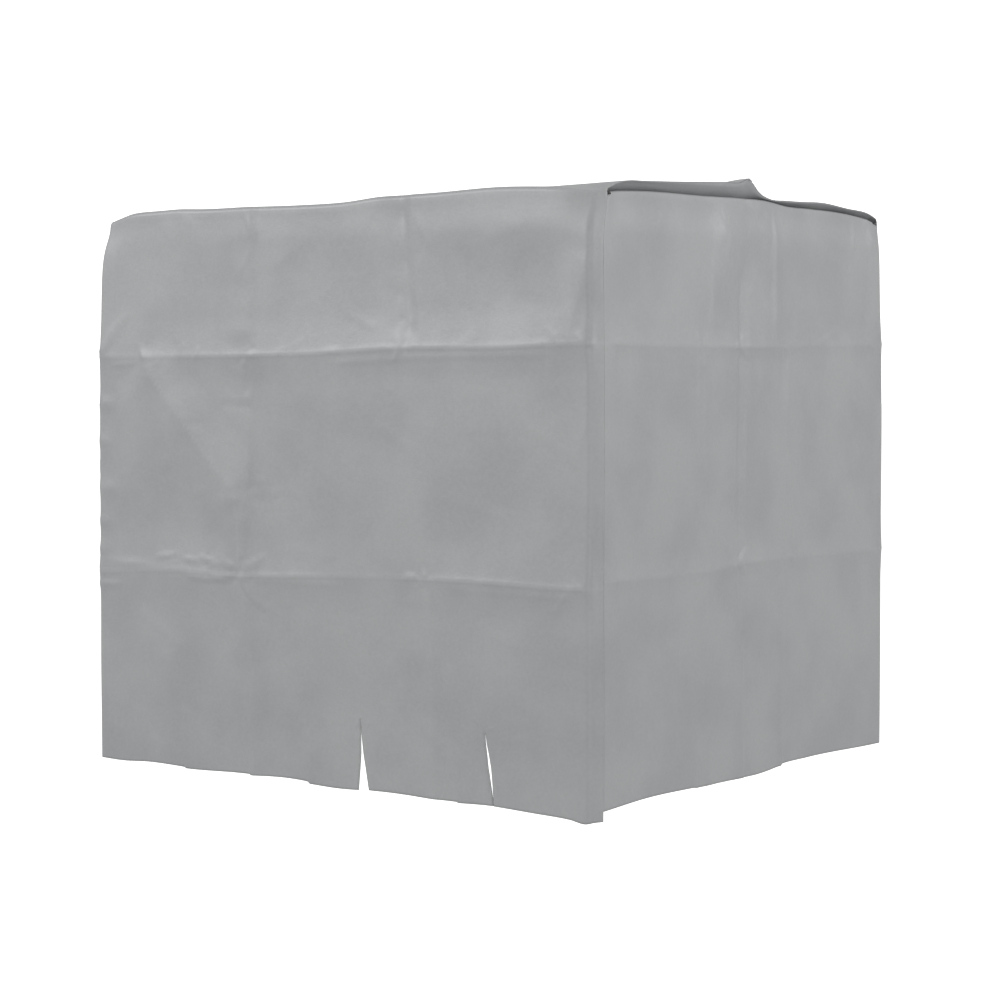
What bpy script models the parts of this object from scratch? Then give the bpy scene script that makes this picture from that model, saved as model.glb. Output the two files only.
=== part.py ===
"""A loose cloth cover for a pallet tank, hung in its folds.

It is a gusseted bag, open at the bottom. The front and the back panel each run up
their wall and over the top, to a standing seam along the middle. A gusset closes
each end, and its top is tucked in under the long panels, as a flat pocket whose
mouth shows as a dark wedge. The tank inside is left out.

Metres, +Z up. X runs along the front. The origin is on the underside of the top,
at its middle, where the tank holds the cloth. The front is at -Y.
"""
import math

import bmesh
import bpy
import numpy as np

MM = 0.001

# Driving sizes of the hung cover
LENGTH = 1.216
WIDTH = 1.080
DROP = 1.090
CLOTH = 0.0015
SEAM_GAP = 0.0008
FIN_GAP = 0.0003
ROUNDING = 1e-6

# The long panels turn the upright corners with a tight bend and a short strip
CORNER_BEND = 0.012
CORNER_TURN = math.radians(67)
CORNER_STRIP = 0.022
TOP_BEND = 0.016

# The standing seam along the middle of the top
FIN_HEIGHT = 0.012
FIN_BEND = 0.002

# The tucked pocket of each gusset
POCKET_DEPTH = 0.420
POCKET_START = 0.020
CREASE_BEND = 0.004
POCKET_LIFT = 0.016
POCKET_MARGIN = 0.030
POCKET_SLOPE = 0.120
LAYER_AT_LIP = 0.0040
LAYER_INSIDE = 0.0085
MOUTH_REACH = 0.070
TURN_DEPTH = 0.003
LAYER_REACH = 0.060
LIP_INSET = 0.001
SEAM_BLEND = 0.045

# How far the raised edges of the top reach inwards
EDGE_REACH = 0.110
LIP_REACH = 0.150

# Where the packing folds lie on the flat cloth, over the hem
LOW_FOLD = 0.400
HIGH_FOLD = 0.830

# The upright seams wander in and out in slow waves
SEAM_WANDER = 0.001
SEAM_WAVES = 11.0

# Below the top the walls spread by this share
SPREAD = 0.007
SPREAD_HEIGHT = 0.45

# Worked out from the sizes above
CORNER_ALONG = CORNER_BEND * math.sin(CORNER_TURN) + CORNER_STRIP * math.cos(CORNER_TURN)
CORNER_BACK = CORNER_BEND * (1 - math.cos(CORNER_TURN)) + CORNER_STRIP * math.sin(CORNER_TURN)
CORNER_ARC = CORNER_BEND * CORNER_TURN
FLAT_HALF = LENGTH / 2 - CORNER_ALONG
PANEL_HALF = FLAT_HALF + CORNER_ARC + CORNER_STRIP
SEAM_Y = WIDTH / 2 - CORNER_BACK
WALL = DROP - TOP_BEND
BEND_RUN = TOP_BEND * math.pi / 2
FIN_FOOT = FIN_GAP / 2 + CLOTH / 2 + FIN_BEND
TOP_LENGTH = WIDTH / 2 - TOP_BEND - FIN_FOOT
FIN_RUN = FIN_BEND * math.pi / 2
GUSSET_HALF = SEAM_Y - SEAM_GAP
POCKET_EDGE = SEAM_Y - POCKET_START
CREASE_RUN = CREASE_BEND * math.pi / 2
TURN_RUN = TURN_DEPTH * math.pi

# Heights of the top's edges over the tank. Columns: place, height, in mm
FRONT_EDGE = ((-600, 12), (-552, 13), (-458, 12), (-392, 14), (-328, 12), (-202, 12), (-80, 11),
              (38, 13), (125, 20), (172, 21), (265, 23), (374, 28), (479, 32), (530, 36), (570, 35), (600, 27))
BACK_EDGE = ((-600, 14), (-400, 17), (-150, 12), (100, 15), (350, 12), (600, 14))
RIGHT_LIP = ((-540, 16), (-500, 22), (-474, 29), (-440, 35), (-374, 38), (-280, 42), (-198, 46), (-100, 51),
             (-40, 55), (-24, 60), (-12, 64), (-3, 58), (8, 48), (24, 38), (60, 28), (130, 27), (195, 28),
             (268, 30), (380, 23), (470, 18), (510, 12), (540, 4))
LEFT_LIP = ((-535, 12), (-491, 13), (-400, 20), (-200, 27), (-30, 35), (0, 34), (60, 24),
            (200, 22), (400, 18), (491, 14), (535, 13))

# Heights of each gusset's top crease, the lower edge of its pocket's mouth, in mm
RIGHT_MOUTH = ((-507, 13), (-450, 17), (-384, 20), (-162, 22), (-17, 24), (58, 24), (136, 17), (235, 16),
                (359, 14), (450, 8), (507, 2))
LEFT_MOUTH = ((-507, 3), (-300, 8), (0, 12), (300, 9), (507, 3))

# Heights of the hems over the lowest corner, in mm
FRONT_HEM = ((-600, -2), (-533, -3), (-466, 1), (-335, 0), (-208, 3), (-85, 5), (35, 0),
             (151, 3), (264, 2), (373, 3), (480, 0), (556, -3), (592, -7), (600, -5))
BACK_HEM = ((-600, 3), (-300, -2), (0, 3), (280, -1), (600, 4))
RIGHT_HEM = ((-507, 13), (-379, 17), (-173, 12), (48, 8), (106, 12), (507, 5))
LEFT_HEM = ((-507, 2), (-200, 6), (90, 1), (507, 4))

# The packing folds that run round the walls. Columns: place, height over the hem, in mm
FRONT_HIGH = ((-600, 812), (-330, 814), (-22, 820), (172, 830), (400, 831), (531, 836), (600, 838))
FRONT_LOW = ((-600, 376), (-500, 384), (-414, 389), (-214, 389), (-23, 397), (218, 406), (400, 407),
             (575, 405), (600, 418))
BACK_HIGH = ((-600, 812), (-200, 826), (250, 822), (600, 838))
BACK_LOW = ((-600, 380), (-150, 396), (300, 404), (600, 412))
RIGHT_HIGH = ((-507, 838), (-383, 835), (-196, 833), (-52, 832), (158, 834), (507, 838))
RIGHT_LOW = ((-507, 418), (-348, 415), (-194, 413), (-49, 420), (162, 418), (507, 412))
LEFT_HIGH = ((-507, 812), (0, 824), (507, 812))
LEFT_LOW = ((-507, 376), (0, 388), (507, 380))

# How proud those folds stand. Columns: place, height of the crest, in mm
FRONT_HIGH_CREST = ((-600, 4), (-479, 3), (-330, 6), (-199, 8), (0, 6), (172, 9), (300, 7), (450, 8), (600, 6))
FRONT_LOW_CREST = ((-600, 4), (-414, 5), (-214, 7), (-100, 8), (0, 5), (200, 4), (287, 8), (450, 7), (600, 5))
BACK_CREST = ((-600, 4), (-200, 7), (200, 6), (600, 5))
RIGHT_CREST = ((-507, 2.6), (-196, 2), (-52, 3.4), (158, 2), (507, 2.4))
LEFT_CREST = ((-507, 4), (0, 6), (507, 4))

# The upright folds. Columns: height over the hem, place along the wall, in mm
FRONT_LEFT_FOLD = ((0, -182), (245, -189), (389, -214), (633, -197), (816, -199), (1110, -202))
FRONT_UPPER_FOLD = ((800, 196), (881, 195), (936, 188), (1028, 179), (1110, 172))
FRONT_LOWER_FOLD = ((0, 254), (276, 250), (404, 241), (643, 241), (808, 242))
RIGHT_NEAR_FOLD = ((0, -163), (412, -172), (640, -177), (839, -186), (1110, -196))
RIGHT_MIDDLE_FOLD = ((0, -28), (253, -41), (426, -57), (832, -52), (1110, -46))
RIGHT_FAR_LOW = ((0, 106), (416, 104))
RIGHT_FAR_MIDDLE = ((416, 150), (640, 128), (834, 130))
RIGHT_FAR_HIGH = ((834, 86), (1110, 84))
BACK_LEFT_FOLD = ((0, -190), (600, -205), (1110, -196))
BACK_RIGHT_FOLD = ((0, 214), (600, 200), (1110, 206))
LEFT_MIDDLE_FOLD = ((0, 18), (500, 34), (1110, 20))

# Slack and hollows of each wall. Columns: place, height, half width, half height, bulge, in mm
FRONT_PILLOWS = (
    (-400, 985, 130, 110, -5), (0, 960, 140, 100, -6), (395, 950, 150, 90, -6), (470, 1050, 120, 45, 4),
    (-60, 650, 170, 130, -3), (120, 520, 160, 110, 4), (450, 600, 130, 130, -5), (240, 640, 45, 150, 3),
    (-420, 210, 150, 110, 4), (20, 190, 140, 120, -4), (450, 210, 130, 110, 4), (-330, 500, 90, 80, -5),
)
BACK_PILLOWS = (
    (-400, 960, 150, 110, -5), (0, 980, 140, 100, -4), (400, 960, 140, 110, -6), (-380, 600, 150, 130, 4),
    (30, 610, 160, 130, -4), (420, 590, 140, 130, 4), (-390, 190, 150, 120, -4), (10, 200, 150, 120, 4),
    (410, 210, 140, 120, -3),
)
RIGHT_PILLOWS = (
    (-350, 970, 110, 100, -4), (-92, 1020, 40, 75, 6), (330, 960, 130, 110, -4), (-340, 620, 110, 130, 3),
    (330, 620, 130, 130, -3), (-330, 200, 110, 120, -3), (320, 200, 130, 120, 3), (15, 950, 40, 90, -4),
)
LEFT_PILLOWS = (
    (-280, 960, 150, 110, -5), (280, 970, 150, 110, -4), (-270, 600, 150, 130, 4), (280, 600, 150, 130, -4),
    (-270, 190, 150, 120, -3), (270, 200, 150, 120, 3),
)

# Straight creases. Columns: start place and height, end place and height, crest, left and right reach, in mm
FRONT_CREASES = (
    (-468, 796, -226, 545, 8, 80, 150), (-226, 545, -214, 400, 4, 60, 90), (-214, 389, -130, 318, 3, 22, 26),
    (552, 840, 590, 990, 3, 70, 26),
)
RIGHT_CREASES = (
    (471, 1094, 500, 990, 3, 26, 26), (20, 1104, 64, 1040, 3, 22, 20), (-126, 1041, -154, 863, 3, 22, 20),
)

# Each wall's lines and relief. The packing folds that run round it give their crest and their reach above and
# below, the upright folds their crest, their reach before and after, and the heights between which they show.
FRONT = {
    "hem": FRONT_HEM, "low": FRONT_LOW, "high": FRONT_HIGH,
    "round": ((FRONT_HIGH, FRONT_HIGH_CREST, 75, 22), (FRONT_LOW, FRONT_LOW_CREST, 80, 24)),
    "upright": ((FRONT_LEFT_FOLD, 4, 60, 30, -50, 1150), (FRONT_UPPER_FOLD, -6, 22, 50, 830, 1150),
                (FRONT_LOWER_FOLD, 3, 50, 50, -50, 860)),
    "straight": FRONT_CREASES, "slack": FRONT_PILLOWS,
}
BACK = {
    "hem": BACK_HEM, "low": BACK_LOW, "high": BACK_HIGH,
    "round": ((BACK_HIGH, BACK_CREST, 75, 24), (BACK_LOW, BACK_CREST, 80, 26)),
    "upright": ((BACK_LEFT_FOLD, 4, 40, 50, -50, 1150), (BACK_RIGHT_FOLD, -4, 50, 40, -50, 1150)),
    "straight": (), "slack": BACK_PILLOWS,
}
RIGHT = {
    "hem": RIGHT_HEM, "low": RIGHT_LOW, "high": RIGHT_HIGH, "mouth": RIGHT_MOUTH, "lip": RIGHT_LIP,
    "round": ((RIGHT_HIGH, RIGHT_CREST, 60, 20), (RIGHT_LOW, RIGHT_CREST, 60, 22)),
    "upright": ((RIGHT_NEAR_FOLD, 2, 30, 34, -50, 830), (RIGHT_MIDDLE_FOLD, -3, 14, 44, -50, 1000),
                (RIGHT_FAR_LOW, 2, 30, 30, -50, 412), (RIGHT_FAR_MIDDLE, 2, 30, 40, 416, 830),
                (RIGHT_FAR_HIGH, 2, 26, 30, 838, 1090)),
    "straight": RIGHT_CREASES, "slack": RIGHT_PILLOWS,
}
LEFT = {
    "hem": LEFT_HEM, "low": LEFT_LOW, "high": LEFT_HIGH, "mouth": LEFT_MOUTH, "lip": LEFT_LIP,
    "round": ((LEFT_HIGH, LEFT_CREST, 65, 24), (LEFT_LOW, LEFT_CREST, 65, 24)),
    "upright": ((LEFT_MIDDLE_FOLD, 6, 50, 30, -50, 1150),),
    "straight": (), "slack": LEFT_PILLOWS,
}
FOLD_END = 0.040
END_FADE = 0.15

# Corners of the top that hang lower. Columns: X side, Y side, down, in along X, in along Y, reach, in mm
SLUMPS = ((-1, -1, 18, 12, 12, 70), (1, 1, 6, 4, 4, 55), (-1, 1, 12, 10, 10, 60), (1, -1, 2, 2, 12, 48))

# Slits of the tap flap in the front hem. Columns: place at the hem, place at the top end, width at the hem,
# width at half height, in mm
SLITS = ((88, 79, 24, 2), (389, 371, 12, 11))
SLIT_TOP = 0.137
SLIT_HALF = 0.075

# Stations of the cut grids, in mm: places across each panel and heights up its wall
FRONT_COLUMNS = (-530, -475, -420, -360, -300, -245, -214, -200, -186, -150, -95, -40, 20, 88, 140, 175, 190, 205,
                 243, 285, 335, 389, 435, 485, 535)
FRONT_ROWS = (0, 14, 75, 137, 200, 270, 335, 375, 390, 400, 412, 440, 495, 560, 630, 700, 760, 805, 820, 830,
              842, 866, 910, 965, 1020)
BACK_COLUMNS = (-510, -420, -320, -240, -198, -150, -60, 40, 130, 180, 206, 260, 340, 430, 515)
BACK_ROWS = (0, 110, 230, 330, 385, 400, 416, 460, 560, 680, 780, 816, 830, 846, 890, 970, 1030)
RIGHT_COLUMNS = (-467, -435, -400, -370, -300, -230, -186, -170, -125, -85, -60, -50, -36, 0, 22, 45, 86, 106, 130, 150,
                 185, 240, 300, 370, 430, 460)
RIGHT_ROWS = (0, 130, 270, 385, 400, 416, 470, 560, 660, 760, 815, 830, 846, 890, 950, 1010, 1050)
LEFT_COLUMNS = (-455, -390, -300, -200, -100, -20, 20, 60, 140, 230, 320, 400, 455)
LEFT_ROWS = (0, 130, 270, 380, 400, 420, 520, 660, 790, 830, 870, 960, 1030)
TOP_RUN = (0.05, 0.12, 0.23, 0.38, 0.55, 0.72, 0.86, 0.94, 1.0)
BACK_TOP_RUN = (0.10, 0.24, 0.42, 0.60, 0.78, 0.89, 0.95, 1.0)
POCKET_RUN = (0.12, 0.30, 0.60, 1.0)


def along(rows, place):
    """Read a table as a smooth curve. Its columns are in millimetres, the result in metres."""
    knots = np.array(rows, dtype=float) * MM
    x, y = knots[:, 0], knots[:, 1]
    slope = np.gradient(y, x)
    place = np.clip(place, x[0], x[-1])
    i = np.clip(np.searchsorted(x, place) - 1, 0, len(x) - 2)
    span = x[i + 1] - x[i]
    t = (place - x[i]) / span
    start = (1 + 2 * t) * (1 - t) ** 2 * y[i] + t * (1 - t) ** 2 * span * slope[i]
    end = t * t * (3 - 2 * t) * y[i + 1] - t * t * (1 - t) * span * slope[i + 1]
    return start + end


def smooth(t):
    t = np.clip(t, 0, 1)
    return t * t * (3 - 2 * t)


def pinch(distance, crest, before, after):
    """A folded crease: steepest at its line, gone at its reach on each side."""
    reach = np.where(distance < 0, before, after)
    return crest * np.clip(1 - np.abs(distance) / reach, 0, 1) ** 2


def creases(place, height, rows):
    """The relief of straight creases with faded ends."""
    total = np.zeros_like(place)
    for row in rows:
        start_x, start_h, end_x, end_h, crest, left, right = (value * MM for value in row)
        run = math.hypot(end_x - start_x, end_h - start_h)
        ax, ah = (end_x - start_x) / run, (end_h - start_h) / run
        t = ((place - start_x) * ax + (height - start_h) * ah) / run
        off = (place - start_x) * ah - (height - start_h) * ax
        total += pinch(off, crest, left, right) * smooth(t / END_FADE + 0.5) * smooth((1 - t) / END_FADE + 0.5)
    return total


def pillows(place, height, rows):
    """The relief of slack and hollow places."""
    total = np.zeros_like(place)
    for row in rows:
        x, h, half_x, half_h, bulge = (value * MM for value in row)
        total += bulge * np.exp(-((place - x) / half_x) ** 2 - ((height - h) / half_h) ** 2)
    return total


def relief(place, height, wall):
    """How far a wall's cloth stands proud of its plane, from its folds, creases and slack."""
    total = creases(place, height, wall["straight"]) + pillows(place, height, wall["slack"])
    for line, crest, above, below in wall["round"]:
        total += pinch(height - along(line, place), along(crest, place), below * MM, above * MM)
    for line, crest, before, after, lowest, highest in wall["upright"]:
        inside = smooth((height - lowest * MM) / FOLD_END) * smooth((highest * MM - height) / FOLD_END)
        total += inside * pinch(place - along(line, height), crest * MM, before * MM, after * MM)
    return total


def seam_wander(flat):
    """How far the upright seams wander outwards. Both panels of a seam share it."""
    return SEAM_WANDER * np.sin(flat * SEAM_WAVES)


def pocket_depth(y):
    return np.minimum(WIDTH / 2 - np.abs(y), POCKET_DEPTH)


def top_height(x, y):
    """The middle of the top's cloth over the tank, at any place."""
    inwards = LENGTH / 2 - np.abs(x)
    over_pocket = smooth((pocket_depth(y) + POCKET_MARGIN + POCKET_SLOPE - inwards) / POCKET_SLOPE)
    rest = CLOTH / 2 + POCKET_LIFT * over_pocket
    edge = np.where(y < 0, along(FRONT_EDGE, x), along(BACK_EDGE, x))
    lip = np.where(x > 0, along(RIGHT_LIP, y), along(LEFT_LIP, y))
    near_edge = np.exp(-((WIDTH / 2 - TOP_BEND - np.abs(y)) / EDGE_REACH) ** 2)
    near_lip = np.exp(-(inwards / LIP_REACH) ** 2)
    return rest + (edge - rest) * near_edge * (1 - near_lip) + (lip - rest) * near_lip


def slump(x, y, z):
    """Let the top's corners hang and the walls spread, in every panel alike."""
    spread_out = 1 + SPREAD * smooth(-z / SPREAD_HEIGHT)
    x, y = x * spread_out, y * spread_out
    for side_x, side_y, down, in_x, in_y, reach in SLUMPS:
        corner = (side_x * LENGTH / 2, side_y * WIDTH / 2, FRONT_EDGE[0][1] * MM)
        away = (x - corner[0]) ** 2 + (y - corner[1]) ** 2 + (z - corner[2]) ** 2
        weight = np.exp(-away / (reach * MM) ** 2)
        x = x - side_x * in_x * MM * weight
        y = y - side_y * in_y * MM * weight
        z = z - down * MM * weight
    return x, y, z


def wall_height(flat, wall, place, top):
    """Raise a height on the flat cloth to its place on the hung wall, so rows follow the folds."""
    hem, low, high = (along(wall[name], place) for name in ("hem", "low", "high"))
    lower = hem + (low - hem) * flat / LOW_FOLD
    middle = low + (high - low) * (flat - LOW_FOLD) / (HIGH_FOLD - LOW_FOLD)
    upper = high + (top - high) * (flat - HIGH_FOLD) / (WALL - HIGH_FOLD)
    return np.where(flat < LOW_FOLD, lower, np.where(flat < HIGH_FOLD, middle, upper))


def corner_plan(across):
    """Plan of a long panel: place along the wall, depth behind it, way it faces, share of the corner."""
    side = np.sign(across)
    past = np.clip(np.abs(across) - FLAT_HALF, 0, None)
    turn = np.minimum(past, CORNER_ARC) / CORNER_BEND
    strip = np.clip(past - CORNER_ARC, 0, None)
    reach = np.minimum(np.abs(across), FLAT_HALF)
    x = side * (reach + CORNER_BEND * np.sin(turn) + strip * math.cos(CORNER_TURN))
    depth = CORNER_BEND * (1 - np.cos(turn)) + strip * math.sin(CORNER_TURN)
    return x, depth, side * turn, past / (PANEL_HALF - FLAT_HALF)


def hang_long_panel(across, up, facing, wall):
    """Place the flat cloth of the front (facing -1) or the back (facing 1)."""
    x, depth, turn, into_corner = corner_plan(across)
    out = WIDTH / 2 - depth
    edge = top_height(x, facing * (out - TOP_BEND))
    flat = np.minimum(up, WALL)
    h = wall_height(flat, wall, x, edge + DROP - TOP_BEND)
    proud = relief(x, h, wall) * (1 - smooth(1.5 * into_corner)) + seam_wander(flat) * smooth(into_corner)
    x = x + proud * np.sin(turn)
    out = out + proud * np.cos(turn)

    bend = np.clip((up - WALL) / BEND_RUN, 0, 1) * math.pi / 2
    z = h - DROP + TOP_BEND * np.sin(bend)
    out = out - TOP_BEND * (1 - np.cos(bend))

    run = np.clip((up - WALL - BEND_RUN) / TOP_LENGTH, 0, 1)
    out = out + (FIN_FOOT - out) * run
    z = np.where(run > 0, top_height(x, facing * out), z)

    past_top = up - WALL - BEND_RUN - TOP_LENGTH
    turn_up = np.clip(past_top / FIN_RUN, 0, 1) * math.pi / 2
    rise = FIN_BEND * (1 - np.cos(turn_up)) + np.clip(past_top - FIN_RUN, 0, None)
    return slump(x, facing * (out - FIN_BEND * np.sin(turn_up)), z + rise)


def pocket_floor(x, y, crease):
    """The lower layer of a pocket: it dips from the mouth's crease to the tank's top."""
    rest = np.minimum(CLOTH / 2, top_height(x, y) - POCKET_LIFT)
    inwards = LENGTH / 2 - CREASE_BEND - np.abs(x)
    return rest + (crease - rest) * np.exp(-(inwards / MOUTH_REACH) ** 2)


def gusset_wall_top(y, crease, lip):
    """Where a gusset's wall ends: at its crease, or under the long panel's bend at the corners."""
    from_corner = SEAM_Y - np.abs(y)
    short = np.clip(TOP_BEND - from_corner, 0, TOP_BEND)
    bend_foot = along(lip, np.sign(y) * (SEAM_Y - TOP_BEND)) - TOP_BEND
    under_bend = bend_foot + np.sqrt(TOP_BEND ** 2 - short ** 2) - 3 * CLOTH
    at_crease = crease - CREASE_BEND
    return np.where(np.abs(y) > POCKET_EDGE + ROUNDING, np.minimum(under_bend, at_crease), at_crease)


def hang_gusset(across, up, side, wall):
    """Place the flat cloth of an end gusset: its wall, then the pocket tucked under the top."""
    y = across
    crease = along(wall["mouth"], y)
    flat = np.minimum(up, WALL)
    h = wall_height(flat, wall, y, gusset_wall_top(y, crease, wall["lip"]) + DROP)
    by_seam = 1 - smooth((GUSSET_HALF - np.abs(y)) / SEAM_BLEND)
    wall_x = LENGTH / 2 + relief(y, h, wall) * (1 - by_seam)
    wander = seam_wander(flat) * by_seam
    wall_x = wall_x + wander * math.sin(CORNER_TURN)
    y = y + np.sign(y) * wander * math.cos(CORNER_TURN)

    stage = up - WALL
    turn = np.clip(stage / CREASE_RUN, 0, 1) * math.pi / 2
    wall_x = wall_x - CREASE_BEND * (1 - np.cos(turn))
    wall_z = h - DROP + CREASE_BEND * np.sin(turn)

    inner = LENGTH / 2 - pocket_depth(y)
    stage = stage - CREASE_RUN
    in_x = wall_x + (inner - wall_x) * np.clip(stage / POCKET_DEPTH, 0, 1)
    in_z = pocket_floor(side * in_x, y, crease)

    stage = stage - POCKET_DEPTH
    roll = np.clip(stage / TURN_RUN, 0, 1) * math.pi
    floor_end = pocket_floor(side * inner, y, crease)
    roof_end = top_height(side * inner, y) - LAYER_INSIDE
    turn_x = inner - TURN_DEPTH * np.sin(roll)
    turn_z = (roof_end + floor_end) / 2 - (roof_end - floor_end) / 2 * np.cos(roll)

    stage = stage - TURN_RUN
    lip_x = LENGTH / 2 - LIP_INSET
    out_x = inner + (lip_x - inner) * np.clip(stage / POCKET_DEPTH, 0, 1)
    layer = LAYER_AT_LIP + (LAYER_INSIDE - LAYER_AT_LIP) * smooth((lip_x - out_x) / LAYER_REACH)
    out_z = top_height(side * out_x, y) - layer

    on_wall = up <= WALL + CREASE_RUN
    running_in = up <= WALL + CREASE_RUN + POCKET_DEPTH
    turning = up <= WALL + CREASE_RUN + POCKET_DEPTH + TURN_RUN
    x = np.select([on_wall, running_in, turning], [wall_x, in_x, turn_x], out_x)
    z = np.select([on_wall, running_in, turning], [wall_z, in_z, turn_z], out_z)
    return slump(side * x, y, z)


def mirrored(values):
    return sorted({round(sign * value, 6) for value in values for sign in (-1, 1)})


def long_panel_columns(places):
    corner = [FLAT_HALF, FLAT_HALF + CORNER_ARC / 2, FLAT_HALF + CORNER_ARC, PANEL_HALF]
    return sorted([place * MM for place in places] + mirrored(corner))


def long_panel_rows(heights, top_run):
    bend = [WALL + BEND_RUN * share for share in (0, 1 / 3, 2 / 3, 1)]
    top = [WALL + BEND_RUN + TOP_LENGTH * share for share in top_run]
    fin = [top[-1] + FIN_RUN / 2, top[-1] + FIN_RUN, top[-1] + FIN_RUN + FIN_HEIGHT - FIN_BEND]
    return [height * MM for height in heights] + bend + top + fin


def gusset_columns(places):
    corner = [GUSSET_HALF, GUSSET_HALF - TOP_BEND / 2, POCKET_EDGE]
    return sorted([place * MM for place in places] + mirrored(corner))


def gusset_rows(heights):
    crease = [WALL + CREASE_RUN * share for share in (0, 1 / 3, 2 / 3, 1)]
    run_in = [crease[-1] + POCKET_DEPTH * share for share in POCKET_RUN]
    turn = [run_in[-1] + TURN_RUN * share for share in (1 / 3, 2 / 3, 1)]
    run_out = [turn[-1] + POCKET_DEPTH * (1 - share) for share in reversed((0,) + POCKET_RUN[:-1])]
    return [height * MM for height in heights] + crease + run_in + turn + run_out


def cut_cloth(columns, rows):
    """A flat cut of cloth as a grid, with its lines at the given places."""
    cloth = bmesh.new()
    bmesh.ops.create_grid(cloth, x_segments=len(columns) - 1, y_segments=len(rows) - 1, size=1)
    for vert in cloth.verts:
        column = round((vert.co.x + 1) / 2 * (len(columns) - 1))
        row = round((vert.co.y + 1) / 2 * (len(rows) - 1))
        vert.co = (columns[column], rows[row], 0)
    return cloth


def cut_slit(cloth, at_hem, at_top, width, half_width):
    """Cut a slit up from the hem along a column of the grid, and spread its sides into a V."""
    on_slit = [vert for vert in cloth.verts
               if abs(vert.co.x - at_hem) < MM / 2 and vert.co.y < SLIT_TOP + MM]
    edges = [edge for edge in cloth.edges if edge.verts[0] in on_slit and edge.verts[1] in on_slit]
    bmesh.ops.split_edges(cloth, edges=edges)
    for vert in [vert for vert in cloth.verts if abs(vert.co.x - at_hem) < MM / 2]:
        up = min(vert.co.y / SLIT_TOP, 1)
        side = -1 if all(face.calc_center_median().x < at_hem for face in vert.link_faces) else 1
        if vert.co.y < SLIT_TOP - MM:
            spread = max(half_width, width + (half_width - width) * vert.co.y / SLIT_HALF)
            vert.co.x += side * spread / 2
        if up < 1:
            vert.co.x += (at_top - at_hem) * up


def trim_pocket_corners(cloth):
    """The pocket starts a little way in from each corner, where the cloth has room to turn in."""
    spare = [face for face in cloth.faces
             if face.calc_center_median().y > WALL and abs(face.calc_center_median().x) > POCKET_EDGE]
    bmesh.ops.delete(cloth, geom=spare, context="FACES")


def hang(cloth, place_cloth):
    """Move every point of the flat cloth to its place on the hung cover."""
    flat = np.array([vert.co[:] for vert in cloth.verts])
    x, y, z = place_cloth(flat[:, 0], flat[:, 1])
    for vert, place in zip(cloth.verts, zip(x, y, z)):
        vert.co = place


def add_panel(name, cloth, flip, material, collection):
    """Turn a hung surface into a sheet of cloth of its real thickness."""
    if flip:
        bmesh.ops.reverse_faces(cloth, faces=cloth.faces)
    mesh = bpy.data.meshes.new(name)
    cloth.to_mesh(mesh)
    cloth.free()
    mesh.shade_smooth()
    mesh.materials.append(material)
    panel = bpy.data.objects.new(name, mesh)
    collection.objects.link(panel)
    sheet = panel.modifiers.new("Cloth", "SOLIDIFY")
    sheet.thickness = CLOTH
    sheet.offset = 0
    sheet.use_even_offset = True
    return panel


def coated_cloth():
    """Silver-grey coated polyester: a soft satin, a little metallic."""
    material = bpy.data.materials.new("coated_cloth")
    material.use_nodes = True
    shader = material.node_tree.nodes["Principled BSDF"]
    shader.inputs["Base Color"].default_value = (0.36, 0.36, 0.36, 1)
    shader.inputs["Roughness"].default_value = 0.45
    shader.inputs["Metallic"].default_value = 0.2
    return material


def main():
    for old in list(bpy.data.objects):
        bpy.data.objects.remove(old)
    collection = bpy.data.collections.new("water_tank_cover")
    bpy.context.scene.collection.children.link(collection)
    material = coated_cloth()

    front = cut_cloth(long_panel_columns(FRONT_COLUMNS), long_panel_rows(FRONT_ROWS, TOP_RUN))
    for slit in SLITS:
        cut_slit(front, *(value * MM for value in slit))
    hang(front, lambda u, v: hang_long_panel(u, v, -1, FRONT))
    add_panel("front_panel", front, False, material, collection)

    back = cut_cloth(long_panel_columns(BACK_COLUMNS), long_panel_rows(BACK_ROWS, BACK_TOP_RUN))
    hang(back, lambda u, v: hang_long_panel(u, v, 1, BACK))
    add_panel("back_panel", back, True, material, collection)

    right = cut_cloth(gusset_columns(RIGHT_COLUMNS), gusset_rows(RIGHT_ROWS))
    trim_pocket_corners(right)
    hang(right, lambda u, v: hang_gusset(u, v, 1, RIGHT))
    add_panel("right_gusset", right, False, material, collection)

    left = cut_cloth(gusset_columns(LEFT_COLUMNS), gusset_rows(LEFT_ROWS))
    trim_pocket_corners(left)
    hang(left, lambda u, v: hang_gusset(u, v, -1, LEFT))
    add_panel("left_gusset", left, True, material, collection)


main()
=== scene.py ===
"""A loose cloth cover for a pallet tank, dressed as a Blender add-on.

It is a gusseted bag of thin silver-grey coated cloth, open at the bottom and still
creased from its packet. Each operator hangs one panel as a fine sheet on the folds
of the CAD panel of that name. Metres, +Z up, the front at -Y.
"""

import math

import bmesh
import bpy
import numpy as np
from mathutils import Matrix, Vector


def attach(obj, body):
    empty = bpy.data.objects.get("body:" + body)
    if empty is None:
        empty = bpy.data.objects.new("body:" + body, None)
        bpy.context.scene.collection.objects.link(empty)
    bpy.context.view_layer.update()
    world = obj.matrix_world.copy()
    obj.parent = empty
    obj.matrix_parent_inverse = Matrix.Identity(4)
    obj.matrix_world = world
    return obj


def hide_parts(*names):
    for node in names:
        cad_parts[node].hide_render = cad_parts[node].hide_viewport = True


bl_info = {
    "name": "Tank Cover",
    "version": (1, 0, 0),
    "blender": (4, 5, 0),
    "location": "3D View > Sidebar > Tank Cover",
    "description": "Hangs the four cloth panels of a loose tank cover in their packing folds",
    "category": "Add Mesh",
}

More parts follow.
